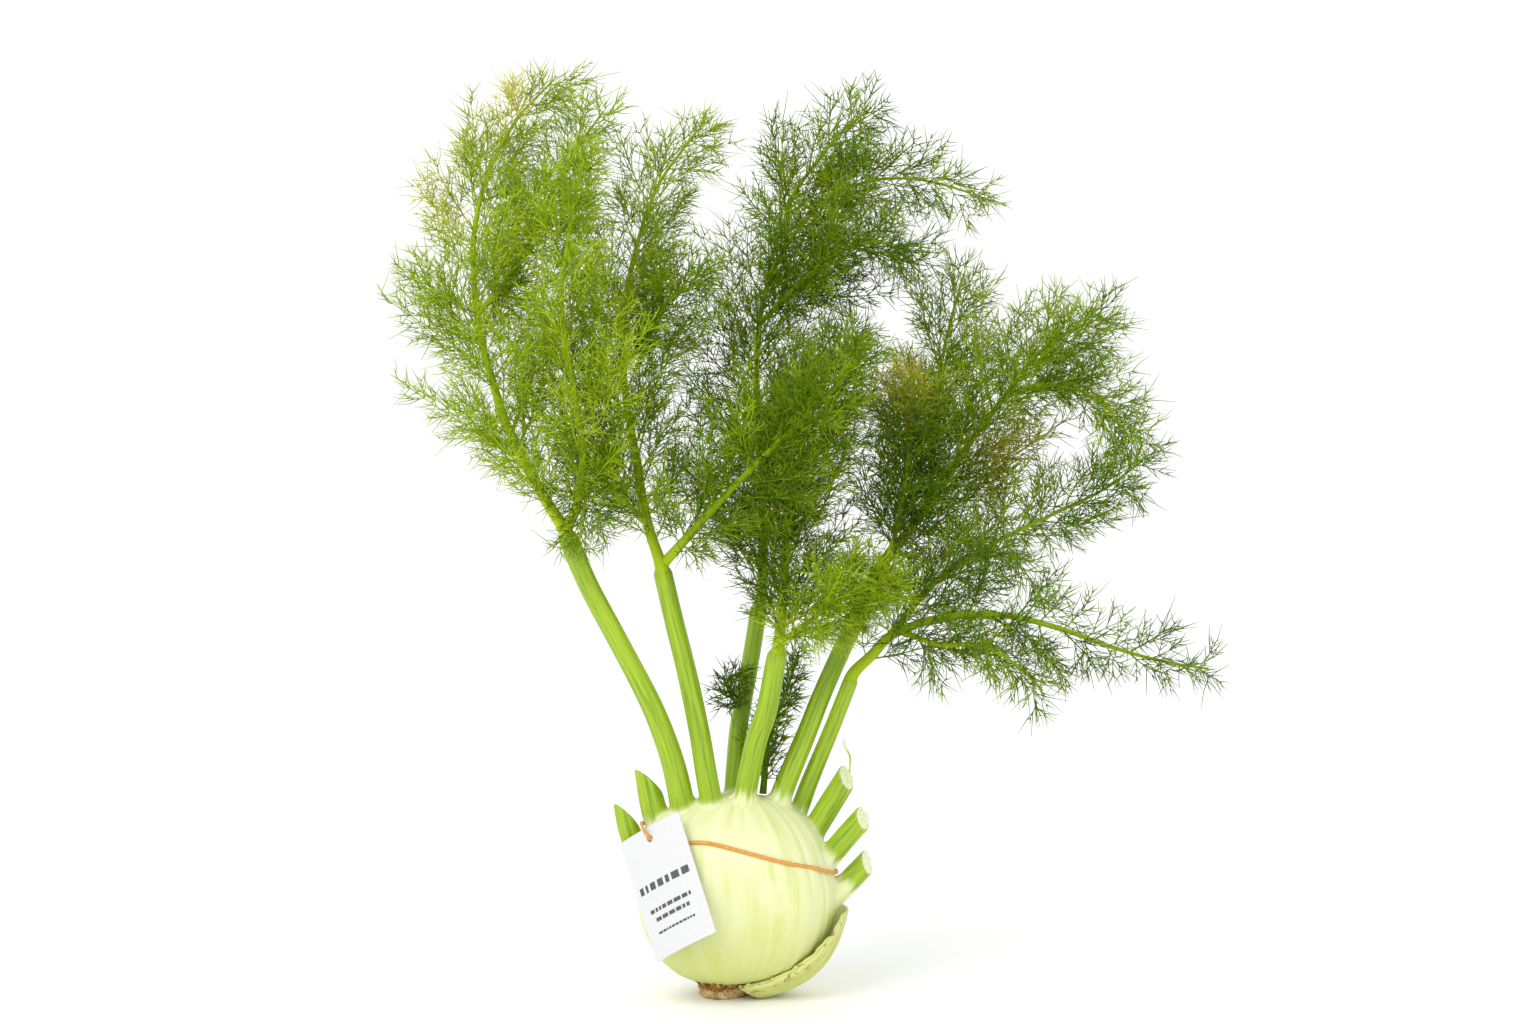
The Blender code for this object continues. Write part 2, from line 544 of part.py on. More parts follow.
def grow_leaflet(bm, face, path):
    """Draw one side face of a limb out along a path into a thin square tube."""
    middle = face.calc_center_median()
    corners = [vert.co - middle for vert in face.verts]
    direction = (path[1] - path[0]).normalized()
    arms = [(arm - direction * arm.dot(direction)).normalized() for arm in corners]
    for k in range(1, len(path)):
        heading = (path[k] - path[k - 1]).normalized()
        turn = direction.rotation_difference(heading)
        arms = [turn @ arm for arm in arms]
        direction = heading
        half = LEAFLET_HALF * (1 - 0.55 * k / (len(path) - 1)) * 1.2
        face = bmesh.ops.extrude_discrete_faces(bm, faces=[face])["faces"][0]
        for vert, arm in zip(face.verts, arms):
            vert.co = path[k] + arm * half


def make_limb(name, space, rng):
    """One limb of a frond: a tapering axis with pairs of side leaflets."""
    knots, halves, nodes = limb_path(name)
    longest = LIMBS[name][3]
    bm = bmesh.new()
    segments = tube(bm, knots, halves, LIMB_SIDES, side=Vector((0.3, 1, 0.2)))
    tangents = directions(knots)
    spin = rng.uniform(0, math.pi)
    for order, node in enumerate(nodes):
        share = (order + 1) / (len(nodes) + 1)
        reach = longest * math.sin(math.pi * min(1.0, 0.22 + 0.78 * share) ** 0.9) ** 0.6
        reach = max(reach, 0.35 * longest)
        spin += math.radians(62)
        for flip in (0, math.pi):
            start = (knots[node] + knots[node + 1]) / 2
            for attempt in range(LEAFLET_TRIES):
                turn = spin + flip + rng.uniform(-0.3, 0.3) * (1 + attempt / 3)
                faces = segments[node]
                number = int(turn / (2 * math.pi) * LIMB_SIDES) % LIMB_SIDES
                face = faces[number]
                if not face.is_valid or face.tag:
                    continue
                out = (face.calc_center_median() - start).normalized()
                size = reach * rng.uniform(0.8, 1.0) * (1 - 0.04 * attempt)
                path = leaflet_path(start + out * halves[node] * 0.9, out, tangents[node], size, rng)
                thick = [LEAFLET_HALF * 1.3] * LEAFLET_BENDS
                if longest < YOUNG_LEAFLET or (path[-1].z > LOWEST_LEAFLET and space.is_free(path, thick, name)):
                    face.tag = True
                    space.add(path, thick, name)
                    grow_leaflet(bm, face, path)
                    break
    return add_object(name, bm, "frond")


def make_fronds():
    """All frond limbs, their side leaflets grown clear of one another and of the stalks."""
    rng = random.Random(SEED)
    space = Space()
    for name, (points, halves, _flat) in LONG_STALKS.items():
        places = walk(points, STALK_STEP)
        space.add(places, [halves[0]] * len(places), name)
    for name in LIMBS:
        knots, halves, _nodes = limb_path(name)
        space.add(knots, halves, name)
    for name in LIMBS:
        make_limb(name, space, rng)


def make_strand():
    """Thin strand of skin that curls up off the top right cut stalk."""
    bm = bmesh.new()
    places = walk(STRAND_POINTS, 0.004)
    tube(bm, places, [STRAND_HALF] * len(places), 6, 0.6)
    return add_object("peeled_strand", bm, "strand")


def tag_place(across, up, out=0.0):
    """A place on the bowed card, from its middle; out is towards the viewer."""
    normal = TAG_ACROSS.cross(TAG_UP).normalized()
    bend = TAG_BOW * (2 * across / TAG_WIDTH) ** 2
    return TAG_MIDDLE + TAG_ACROSS * across + TAG_UP * up + normal * (out - bend)


def band_route():
    """Places along the band's closed loop, clear of the skin by its own half width."""
    clear = BAND_HALF + 2 * GAP
    hole_across, hole_up, _radius = TAG_HOLE
    edge = TAG_HEIGHT / 2
    route = list(BAND_RIGHT)
    for across, height in BAND_FRONT:
        route.append((across, -bulb_depth(across, height, clear), height))
    route += [tuple(tag_place(hole_across + 0.0035, hole_up - 0.0030, -0.0030)),
              tuple(tag_place(hole_across, hole_up, 0.0)),
              tuple(tag_place(hole_across - 0.0003, hole_up + 0.0036, 0.0026)),
              tuple(tag_place(hole_across - 0.0012, edge + 0.0006, 0.0022))]
    route += BAND_LEFT
    for across, height in BAND_BACK:
        route.append((across, bulb_depth(across, height, clear), height))
    return route


def make_band():
    """Rubber band: one closed loop round the bulb and through the tag's hole."""
    route = band_route()
    looped = route[-2:] + route + route[:3]
    fine = [Vector(spline(looped, 2 + k / 16)) for k in range(16 * len(route))]
    total = sum((b - a).length for a, b in zip(fine, fine[1:] + fine[:1]))
    count = round(total / BAND_STEP)
    places = []
    passed = 0.0
    for a, b in zip(fine, fine[1:] + fine[:1]):
        while passed >= total / count * len(places) and len(places) < count:
            places.append(a)
        passed += (b - a).length
    bm = bmesh.new()
    tube(bm, places, [BAND_HALF] * len(places), BAND_SIDES, side=Vector((0, 0, 1)), closed=True)
    return add_object("rubber_band", bm, "band")


def make_tag():
    """Bowed card with a round hole near its top edge."""
    columns, rows = 8, 10
    bm = bmesh.new()
    layers = []
    for out in (-TAG_THICK / 2, TAG_THICK / 2):
        layers.append([[bm.verts.new(tag_place((i / columns - 0.5) * TAG_WIDTH,
                                               (j / rows - 0.5) * TAG_HEIGHT, out))
                        for i in range(columns + 1)] for j in range(rows + 1)])
    back, front = layers
    for j in range(rows):
        for i in range(columns):
            bm.faces.new((front[j][i], front[j][i + 1], front[j + 1][i + 1], front[j + 1][i]))
            bm.faces.new((back[j][i], back[j + 1][i], back[j + 1][i + 1], back[j][i + 1]))
        for i in (0, columns):
            bm.faces.new((front[j][i], front[j + 1][i], back[j + 1][i], back[j][i]))
    for i in range(columns):
        for j in (0, rows):
            bm.faces.new((front[j][i], back[j][i], back[j][i + 1], front[j][i + 1]))
    tag = add_object("hang_tag", bm, "tag")
    across, up, radius = TAG_HOLE
    bm = bmesh.new()
    normal = TAG_ACROSS.cross(TAG_UP).normalized()
    turn = Matrix((TAG_ACROSS, TAG_UP, normal)).transposed().to_4x4()
    bmesh.ops.create_cone(bm, cap_ends=True, segments=16, radius1=radius, radius2=radius, depth=0.01,
                          matrix=Matrix.Translation(tag_place(across, up)) @ turn)
    cut(tag, add_object("hole", bm, "tag"))
    return tag


def main():
    clear_scene()
    make_root()
    bulb = make_bulb()
    make_sheath()
    make_stalks(bulb)
    make_fronds()
    make_strand()
    make_band()
    make_tag()


main()
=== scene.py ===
"""Looks of the fennel bulb: one smooth skin over bulb and stalks, feathery fronds, the loose outer
sheath, the root, the rubber band and the tag.

Frond limbs follow the axes of the frame's limbs. Their side leaflets, shoots and threads are placed
here at random: they are not the frame's leaflets, and they reach past the boxes of the frame's nodes.

Metres, +Z up, front towards -Y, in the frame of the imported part.
"""
import math

import bmesh
import bpy
import numpy as np
from mathutils import Matrix, Vector
from mathutils.bvhtree import BVHTree


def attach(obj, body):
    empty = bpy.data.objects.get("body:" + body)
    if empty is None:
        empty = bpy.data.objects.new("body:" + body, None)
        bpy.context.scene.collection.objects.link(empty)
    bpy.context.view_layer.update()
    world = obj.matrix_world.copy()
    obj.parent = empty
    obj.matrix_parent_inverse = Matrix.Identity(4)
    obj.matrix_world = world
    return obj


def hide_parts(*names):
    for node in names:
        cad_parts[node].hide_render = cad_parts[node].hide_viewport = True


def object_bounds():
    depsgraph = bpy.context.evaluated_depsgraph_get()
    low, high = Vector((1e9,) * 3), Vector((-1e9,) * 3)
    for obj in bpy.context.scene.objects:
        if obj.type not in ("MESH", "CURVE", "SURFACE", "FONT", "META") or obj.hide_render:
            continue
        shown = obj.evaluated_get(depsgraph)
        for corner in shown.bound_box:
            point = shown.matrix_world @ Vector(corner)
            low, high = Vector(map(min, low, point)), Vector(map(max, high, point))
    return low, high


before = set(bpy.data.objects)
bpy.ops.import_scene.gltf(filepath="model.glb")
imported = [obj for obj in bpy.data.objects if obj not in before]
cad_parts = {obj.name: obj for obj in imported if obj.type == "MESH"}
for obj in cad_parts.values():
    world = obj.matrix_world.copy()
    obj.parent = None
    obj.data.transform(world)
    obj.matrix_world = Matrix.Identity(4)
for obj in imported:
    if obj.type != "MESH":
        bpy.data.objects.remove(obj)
CAD_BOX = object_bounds()

GAP = 0.0003
SEED = 5

# ---------------------------------------------------------------- shapes after the frame's
# Same values as the frame's, but for LIMB_TIP here and the foot of STRAND_POINTS below
BULB_SECTIONS = [(0.0093, -0.0130, 0.0160, 0.0140), (0.0110, -0.0190, 0.0290, 0.0195),
                 (0.0150, -0.0270, 0.0405, 0.0250), (0.0220, -0.0350, 0.0505, 0.0300),
                 (0.0320, -0.0415, 0.0575, 0.0340), (0.0440, -0.0460, 0.0615, 0.0365),
                 (0.0580, -0.0480, 0.0625, 0.0370), (0.0720, -0.0480, 0.0600, 0.0350),
                 (0.0850, -0.0450, 0.0555, 0.0310), (0.0960, -0.0390, 0.0490, 0.0250),
                 (0.1040, -0.0300, 0.0410, 0.0190), (0.1100, -0.0170, 0.0310, 0.0130),
                 (0.1130, 0.0000, 0.0180, 0.0070)]
BULB_POWER = 2.25

# Stalks: axis points, half widths, thickness over width, length of the pale foot
STALKS = {
    "cut_stalk_right_low": ([(0.0520, 0.002, 0.0460), (0.0635, 0.002, 0.0570), (0.0730, 0.001, 0.0670),
                             (0.0815, -0.001, 0.0765)], (0.0066, 0.0064, 0.0060), 0.95, 0.022),
    "cut_stalk_right_mid": ([(0.0500, -0.001, 0.0665), (0.0590, -0.002, 0.0780), (0.0690, -0.004, 0.0905),
                             (0.0785, -0.006, 0.1015)], (0.0064, 0.0063, 0.0062), 0.95, 0.014),
    "cut_stalk_right_top": ([(0.0440, 0.003, 0.0800), (0.0500, 0.004, 0.0905), (0.0582, 0.003, 0.1045),
                             (0.0690, 0.001, 0.1225)], (0.0063, 0.0066, 0.0062), 0.95, 0.008),
    "cut_stalk_left_outer": ([(-0.0400, 0.003, 0.0660), (-0.0470, 0.004, 0.0800), (-0.0520, 0.004, 0.0930),
                              (-0.0552, 0.004, 0.1060)], (0.0064, 0.0063, 0.0048), 0.85, 0.015),
    "cut_stalk_left_inner": ([(-0.0300, 0.001, 0.0830), (-0.0360, 0.001, 0.0975), (-0.0395, 0.002, 0.1110),
                              (-0.0425, 0.003, 0.1240)], (0.0066, 0.0072, 0.0056), 0.80, 0.014),
    "stalk_a": ([(-0.0200, -0.003, 0.0950), (-0.0220, -0.005, 0.1080), (-0.0255, -0.008, 0.1260),
                 (-0.0310, -0.011, 0.1450), (-0.0400, -0.015, 0.1680), (-0.0570, -0.020, 0.2020),
                 (-0.0720, -0.023, 0.2310), (-0.0830, -0.025, 0.2570)],
                (0.0072, 0.0058, 0.0055), 0.88, 0.007),
    "stalk_b": ([(-0.0045, -0.006, 0.0960), (-0.0065, -0.008, 0.1130), (-0.0090, -0.010, 0.1280),
                 (-0.0125, -0.012, 0.1500), (-0.0190, -0.014, 0.1820), (-0.0260, -0.015, 0.2110),
                 (-0.0320, -0.015, 0.2370)], (0.0063, 0.0056, 0.0052), 0.90, 0.009),
    "stalk_c": ([(0.0050, 0.009, 0.0980), (0.0065, 0.012, 0.1200), (0.0085, 0.016, 0.1450),
                 (0.0115, 0.021, 0.1620), (0.0165, 0.027, 0.1900), (0.0200, 0.031, 0.2120)],
                (0.0052, 0.0050, 0.0048), 0.95, 0.010),
    "stalk_d": ([(0.0105, -0.006, 0.0970), (0.0135, -0.008, 0.1180), (0.0190, -0.012, 0.1450),
                 (0.0245, -0.017, 0.1620), (0.0300, -0.021, 0.1920)], (0.0062, 0.0060, 0.0056), 0.92, 0.015),
    "stalk_e": ([(0.0265, 0.000, 0.0960), (0.0315, 0.000, 0.1090), (0.0355, 0.001, 0.1200),
                 (0.0460, 0.003, 0.1450), (0.0560, 0.005, 0.1700), (0.0705, 0.008, 0.2020),
                 (0.0870, 0.011, 0.2360)], (0.0064, 0.0053, 0.0052), 0.90, 0.014),
    "stalk_f": ([(0.0375, 0.008, 0.0920), (0.0430, 0.009, 0.1040), (0.0490, 0.009, 0.1200),
                 (0.0590, 0.005, 0.1450), (0.0650, 0.000, 0.1610), (0.0705, -0.004, 0.1760)],
                (0.0054, 0.0046, 0.0042), 0.90, 0.009),
}
# The knife's planes through the ends of the cut stalks: a point on each and its outward direction
CUT_PLANES = {
    "cut_stalk_right_low": ((0.0800, -0.001, 0.0755), (0.86, -0.42, 0.28)),
    "cut_stalk_right_mid": ((0.0775, -0.006, 0.1010), (0.78, -0.50, 0.37)),
    "cut_stalk_right_top": ((0.0690, 0.001, 0.1220), (0.74, -0.50, 0.44)),
    "cut_stalk_left_outer": ((-0.0535, 0.004, 0.1010), (0.55, 0.50, 0.67)),
    "cut_stalk_left_inner": ((-0.0400, 0.003, 0.1190), (0.55, 0.50, 0.67)),
}

# Frond limbs: what each grows from, axis points, half width at the foot, longest side leaflet
LIMBS = {
    "frond_a_outer": ("stalk_a", [(-0.084, -0.025, 0.2585), (-0.097, -0.028, 0.282), (-0.114, -0.030, 0.315),
                       (-0.125, -0.028, 0.348), (-0.131, -0.024, 0.372), (-0.134, -0.018, 0.398),
                       (-0.134, -0.012, 0.425), (-0.127, -0.006, 0.455), (-0.112, 0.000, 0.484),
                       (-0.092, 0.004, 0.506)], 0.0036, 0.064),
    "frond_a_inner": ("frond_a_outer", [(-0.0795, -0.034, 0.262), (-0.075, -0.039, 0.288),
                       (-0.076, -0.044, 0.321), (-0.082, -0.046, 0.359), (-0.085, -0.045, 0.392),
                       (-0.080, -0.042, 0.430), (-0.073, -0.038, 0.465)], 0.0028, 0.050),
    "frond_a_back": ("frond_a_outer", [(-0.127, -0.016, 0.378), (-0.119, -0.004, 0.395),
                      (-0.106, 0.010, 0.417), (-0.094, 0.022, 0.445), (-0.080, 0.032, 0.470),
                      (-0.066, 0.038, 0.490)], 0.0020, 0.044),
    "frond_b_main": ("stalk_b", [(-0.031, -0.014, 0.2385), (-0.041, -0.008, 0.266), (-0.048, 0.000, 0.304),
                      (-0.054, 0.010, 0.343), (-0.054, 0.018, 0.381), (-0.047, 0.026, 0.417),
                      (-0.035, 0.034, 0.450), (-0.015, 0.042, 0.478)], 0.0034, 0.062),
    "frond_b_front": ("frond_b_main", [(-0.025, -0.0225, 0.246), (-0.012, -0.032, 0.266),
                       (0.011, -0.046, 0.292), (0.039, -0.058, 0.320), (0.058, -0.064, 0.338),
                       (0.074, -0.066, 0.358)], 0.0032, 0.056),
    "frond_b_low": ("frond_b_main", [(-0.048, -0.0125, 0.262), (-0.058, -0.022, 0.283),
                     (-0.066, -0.030, 0.291), (-0.073, -0.040, 0.280), (-0.076, -0.046, 0.258)],
                    0.0018, 0.040),
    "frond_b_side": ("frond_b_main", [(-0.052, 0.010, 0.352), (-0.042, 0.002, 0.366),
                      (-0.030, -0.008, 0.384), (-0.014, -0.016, 0.403)], 0.0018, 0.042),
    "frond_c_main": ("stalk_c", [(0.0205, 0.032, 0.2135), (0.023, 0.038, 0.250), (0.021, 0.046, 0.300),
                      (0.019, 0.052, 0.350), (0.024, 0.056, 0.390), (0.039, 0.058, 0.420),
                      (0.060, 0.058, 0.442), (0.085, 0.055, 0.452), (0.112, 0.050, 0.452),
                      (0.138, 0.045, 0.445)], 0.0030, 0.058),
    "frond_c_top": ("frond_c_main", [(0.031, 0.064, 0.416), (0.038, 0.071, 0.440), (0.052, 0.077, 0.461),
                     (0.068, 0.080, 0.480), (0.084, 0.081, 0.493)], 0.0017, 0.040),
    "frond_c_side": ("frond_c_main", [(0.026, 0.045, 0.372), (0.042, 0.034, 0.394), (0.064, 0.025, 0.412),
                      (0.088, 0.018, 0.418), (0.106, 0.012, 0.406)], 0.0018, 0.046),
    "frond_d_main": ("stalk_d", [(0.0305, -0.0215, 0.1935), (0.034, -0.021, 0.230), (0.037, -0.017, 0.270),
                      (0.045, -0.010, 0.310), (0.058, -0.002, 0.345), (0.073, 0.006, 0.370)], 0.0034, 0.056),
    "frond_d_front": ("frond_d_main", [(0.036, -0.0285, 0.200), (0.048, -0.038, 0.214),
                       (0.066, -0.049, 0.230), (0.088, -0.056, 0.238)], 0.0022, 0.050),
    "frond_e_main": ("stalk_e", [(0.088, 0.0112, 0.2375), (0.103, 0.012, 0.258), (0.119, 0.010, 0.281),
                      (0.148, 0.004, 0.324), (0.164, 0.000, 0.337), (0.186, -0.004, 0.340),
                      (0.208, -0.008, 0.330), (0.226, -0.010, 0.308)], 0.0034, 0.058),
    "frond_e_top": ("frond_e_main", [(0.155, 0.008, 0.3375), (0.170, 0.018, 0.352), (0.191, 0.028, 0.367),
                     (0.212, 0.036, 0.376)], 0.0018, 0.040),
    "frond_e_upright": ("frond_e_main", [(0.112, 0.0195, 0.277), (0.117, 0.027, 0.300),
                         (0.119, 0.034, 0.332), (0.126, 0.040, 0.368), (0.135, 0.044, 0.400)], 0.0020, 0.046),
    "frond_e_inner": ("frond_e_main", [(0.0885, 0.002, 0.2455), (0.097, -0.012, 0.268),
                       (0.101, -0.022, 0.304), (0.098, -0.028, 0.342)], 0.0018, 0.046),
    "frond_f_main": ("stalk_f", [(0.0715, -0.006, 0.1785), (0.082, -0.013, 0.192), (0.094, -0.021, 0.205),
                      (0.120, -0.031, 0.215), (0.153, -0.037, 0.217), (0.183, -0.037, 0.210),
                      (0.213, -0.034, 0.199), (0.241, -0.031, 0.191), (0.265, -0.029, 0.187)], 0.0036, 0.050),
    "frond_f_back": ("frond_f_main", [(0.092, -0.0125, 0.2075), (0.118, -0.004, 0.232), (0.150, 0.006, 0.252),
                      (0.184, 0.014, 0.268), (0.212, 0.020, 0.281), (0.233, 0.024, 0.296)], 0.0022, 0.050),
    "frond_f_front": ("frond_f_main", [(0.097, -0.0275, 0.2015), (0.118, -0.044, 0.202),
                       (0.138, -0.054, 0.203), (0.156, -0.061, 0.195), (0.172, -0.066, 0.180)],
                      0.0020, 0.042),
    "heart_leaf": ("", [(0.0225, 0.004, 0.1128), (0.026, 0.006, 0.145), (0.035, 0.009, 0.168),
                    (0.042, 0.012, 0.190)], 0.0022, 0.016),
    "curled_leaf": ("stalk_c", [(0.0065, 0.0100, 0.160), (0.003, 0.004, 0.172), (0.006, -0.001, 0.180),
                     (0.014, -0.002, 0.178)], 0.0013, 0.010),
}
LIMB_TIP = 0.0006                 # half width at a limb's end, 0.2 mm less than the frame's


# ---------------------------------------------------------------- curves and meshes
def spline(points, t):
    """Catmull-Rom curve through an array of points, at an array of places t."""
    points = np.asarray(points, float)
    last = len(points) - 1
    t = np.clip(np.asarray(t, float), 0, last)
    i = np.minimum(t.astype(int), last - 1)
    f = (t - i)[:, None]
    padded = np.vstack((2 * points[0] - points[1], points, 2 * points[-1] - points[-2]))
    a, b, c, d = padded[i], padded[i + 1], padded[i + 2], padded[i + 3]
    return 0.5 * (2 * b + (c - a) * f + (2 * a - 5 * b + 4 * c - d) * f ** 2
                  + (3 * b - a - 3 * c + d) * f ** 3)


def walk(points, step):
    """Points about one step apart on the smooth curve through the given points."""
    fine = spline(points, np.linspace(0, len(points) - 1, 24 * len(points)))
    lengths = np.concatenate(([0], np.cumsum(np.linalg.norm(np.diff(fine, axis=0), axis=1))))
    count = max(2, round(lengths[-1] / step))
    wanted = np.linspace(0, lengths[-1], count + 1)
    return np.stack([np.interp(wanted, lengths, fine[:, k]) for k in range(3)], axis=1)


def unit(vectors):
    """Vectors scaled to length one along the last axis."""
    return vectors / np.maximum(np.linalg.norm(vectors, axis=-1, keepdims=True), 1e-12)


def tangents(paths):
    """Directions along paths of shape (number, points, 3)."""
    ahead = np.concatenate((paths[:, 1:], paths[:, -1:]), axis=1)
    behind = np.concatenate((paths[:, :1], paths[:, :-1]), axis=1)
    return unit(ahead - behind)


def tubes(paths, halves, sides, shade):
    """Vertices, quads and shades of many tapering tubes at once.

    paths is (number, points, 3), halves (number, points) and shade (number, points, 2).
    """
    number, length, _ = paths.shape
    along = tangents(paths)
    side = np.cross(along[:, 0], np.array([0.31, 0.52, 0.80]))
    side = unit(np.where(np.linalg.norm(side, axis=1, keepdims=True) < 0.05, [[1.0, 0, 0]], side))
    rings = np.empty((number, length, sides, 3))
    turns = 2 * np.pi * np.arange(sides) / sides
    for k in range(length):
        tangent = along[:, k]
        side = unit(side - tangent * np.sum(side * tangent, axis=1, keepdims=True))
        up = np.cross(tangent, side)
        arms = (side[:, None] * np.cos(turns)[None, :, None] + up[:, None] * np.sin(turns)[None, :, None])
        rings[:, k] = paths[:, k, None] + arms * halves[:, k, None, None]
    index = np.arange(number * length * sides).reshape(number, length, sides)
    low, high = index[:, :-1], index[:, 1:]
    quads = np.stack((low, np.roll(low, -1, axis=2), np.roll(high, -1, axis=2), high), axis=-1)
    shades = np.repeat(shade[:, :, None, :], sides, axis=2)
    ends = index[:, -1] if sides == 3 else index[:, :0].reshape(0, sides)
    starts = index[:, 0][:, ::-1] if sides == 3 else index[:, :0].reshape(0, sides)
    return rings.reshape(-1, 3), quads.reshape(-1, 4), shades.reshape(-1, 2), np.concatenate((ends, starts))


class Batch:
    """Tubes gathered into one mesh, with a two-number shade on each vertex."""

    def __init__(self):
        self.places, self.quads, self.shades, self.caps, self.count = [], [], [], [], 0

    def add(self, paths, halves, sides, shade):
        places, quads, shades, caps = tubes(paths, halves, sides, shade)
        self.places.append(places)
        self.quads.append(quads + self.count)
        self.shades.append(shades)
        if len(caps):
            self.caps.append(caps + self.count)
        self.count += len(places)

    def build(self, name, material):
        places = np.concatenate(self.places)
        quads = np.concatenate(self.quads)
        caps = np.concatenate(self.caps) if self.caps else np.empty((0, 3), int)
        shades = np.concatenate(self.shades)
        mesh = bpy.data.meshes.new(name)
        mesh.vertices.add(len(places))
        mesh.vertices.foreach_set("co", places.ravel())
        corners = np.concatenate((quads.ravel(), caps.ravel()))
        mesh.loops.add(len(corners))
        mesh.loops.foreach_set("vertex_index", corners)
        sizes = np.concatenate((np.full(len(quads), 4), np.full(len(caps), 3)))
        mesh.polygons.add(len(sizes))
        mesh.polygons.foreach_set("loop_start", np.concatenate(([0], np.cumsum(sizes)[:-1])))
        mesh.polygons.foreach_set("loop_total", sizes)
        mesh.update(calc_edges=True)
        layer = mesh.attributes.new("shade", "FLOAT_COLOR", "POINT")
        colour = np.zeros((len(places), 4))
        colour[:, :2] = shades
        colour[:, 3] = 1
        layer.data.foreach_set("color", colour.ravel())
        bake = mesh.uv_layers.new(name="OFBake")
        spot = shades[corners] * 0.96 + 0.02
        spot[:, 1] += 0.004 * (corners % 3)
        bake.data.foreach_set("uv", spot.ravel())
        mesh.shade_smooth()
        mesh.materials.append(material)
        return add_piece(name, mesh)


def add_piece(name, mesh):
    """Object for a mesh, in the scene."""
    piece = bpy.data.objects.new(name, mesh)
    bpy.context.scene.collection.objects.link(piece)
    return piece


def finish_piece(piece, slot, *nodes):
    """Ride the piece on the only body and hide the frame's nodes that it stands for."""
    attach(piece, "root")
    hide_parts(*nodes)


def mesh_from(name, places, faces, material, smooth=True):
    """Mesh from lists, shaded smooth."""
    mesh = bpy.data.meshes.new(name)
    mesh.from_pydata([tuple(place) for place in places], [], [tuple(face) for face in faces])
    mesh.update()
    if smooth:
        mesh.shade_smooth()
    if material:
        mesh.materials.append(material)
    return mesh


# ---------------------------------------------------------------- materials
class Nodes:
    """Short way to build a material's node tree."""

    def __init__(self, name, roughness, **sockets):
        self.material = bpy.data.materials.new(name)
        self.material.use_nodes = True
        self.tree = self.material.node_tree
        self.shader = self.tree.nodes["Principled BSDF"]
        self.shader.inputs["Roughness"].default_value = roughness
        for socket, value in sockets.items():
            self.shader.inputs[socket.replace("_", " ")].default_value = value

    def node(self, kind, **values):
        made = self.tree.nodes.new(kind)
        for key, value in values.items():
            if key in made.inputs:
                made.inputs[key].default_value = value
            else:
                setattr(made, key, value)
        return made

    def link(self, a, b):
        self.tree.links.new(a, b)

    def attribute(self, name):
        return self.node("ShaderNodeAttribute", attribute_name=name)

    def split(self, vector):
        made = self.node("ShaderNodeSeparateXYZ")
        self.link(vector, made.inputs[0])
        return made.outputs

    def noise(self, vector, scale, detail=3.0, stretch=(1, 1, 1), roughness=0.5):
        if stretch != (1, 1, 1):
            mapping = self.node("ShaderNodeMapping")
            mapping.inputs["Scale"].default_value = stretch
            self.link(vector, mapping.inputs["Vector"])
            vector = mapping.outputs[0]
        made = self.node("ShaderNodeTexNoise")
        made.inputs["Scale"].default_value = scale
        made.inputs["Detail"].default_value = detail
        made.inputs["Roughness"].default_value = roughness
        self.link(vector, made.inputs["Vector"])
        return made.outputs["Fac"]

    def ramp(self, value, *stops):
        made = self.node("ShaderNodeValToRGB")
        points = made.color_ramp.elements
        while len(points) < len(stops):
            points.new(0.5)
        for point, (place, colour) in zip(points, stops):
            point.position = place
            point.color = (*colour, 1) if len(colour) == 3 else colour
        self.link(value, made.inputs[0])
        return made.outputs[0]

    def mix(self, share, a, b, blend="MIX"):
        made = self.node("ShaderNodeMix", data_type="RGBA", blend_type=blend)
        for socket, value in ((made.inputs[0], share), (made.inputs[6], a), (made.inputs[7], b)):
            if isinstance(value, (int, float)):
                socket.default_value = value
            elif isinstance(value, tuple):
                socket.default_value = (*value, 1)
            else:
                self.link(value, socket)
        return made.outputs[2]

    def maths(self, operation, a, b=0.0):
        made = self.node("ShaderNodeMath", operation=operation)
        for socket, value in zip(made.inputs, (a, b)):
            if isinstance(value, (int, float)):
                socket.default_value = value
            else:
                self.link(value, socket)
        return made.outputs[0]

    def finish(self, colour=None, height=None, distance=0.0003, strength=0.5, roughness=None):
        if colour is not None:
            self.link(colour, self.shader.inputs["Base Color"])
        if height is not None:
            bump = self.node("ShaderNodeBump")
            bump.inputs["Strength"].default_value = strength
            bump.inputs["Distance"].default_value = distance
            self.link(height, bump.inputs["Height"])
            self.link(bump.outputs[0], self.shader.inputs["Normal"])
        if roughness is not None:
            self.link(roughness, self.shader.inputs["Roughness"])
        return self.material


BLACK, WHITE = (0.0, 0.0, 0.0), (1.0, 1.0, 1.0)


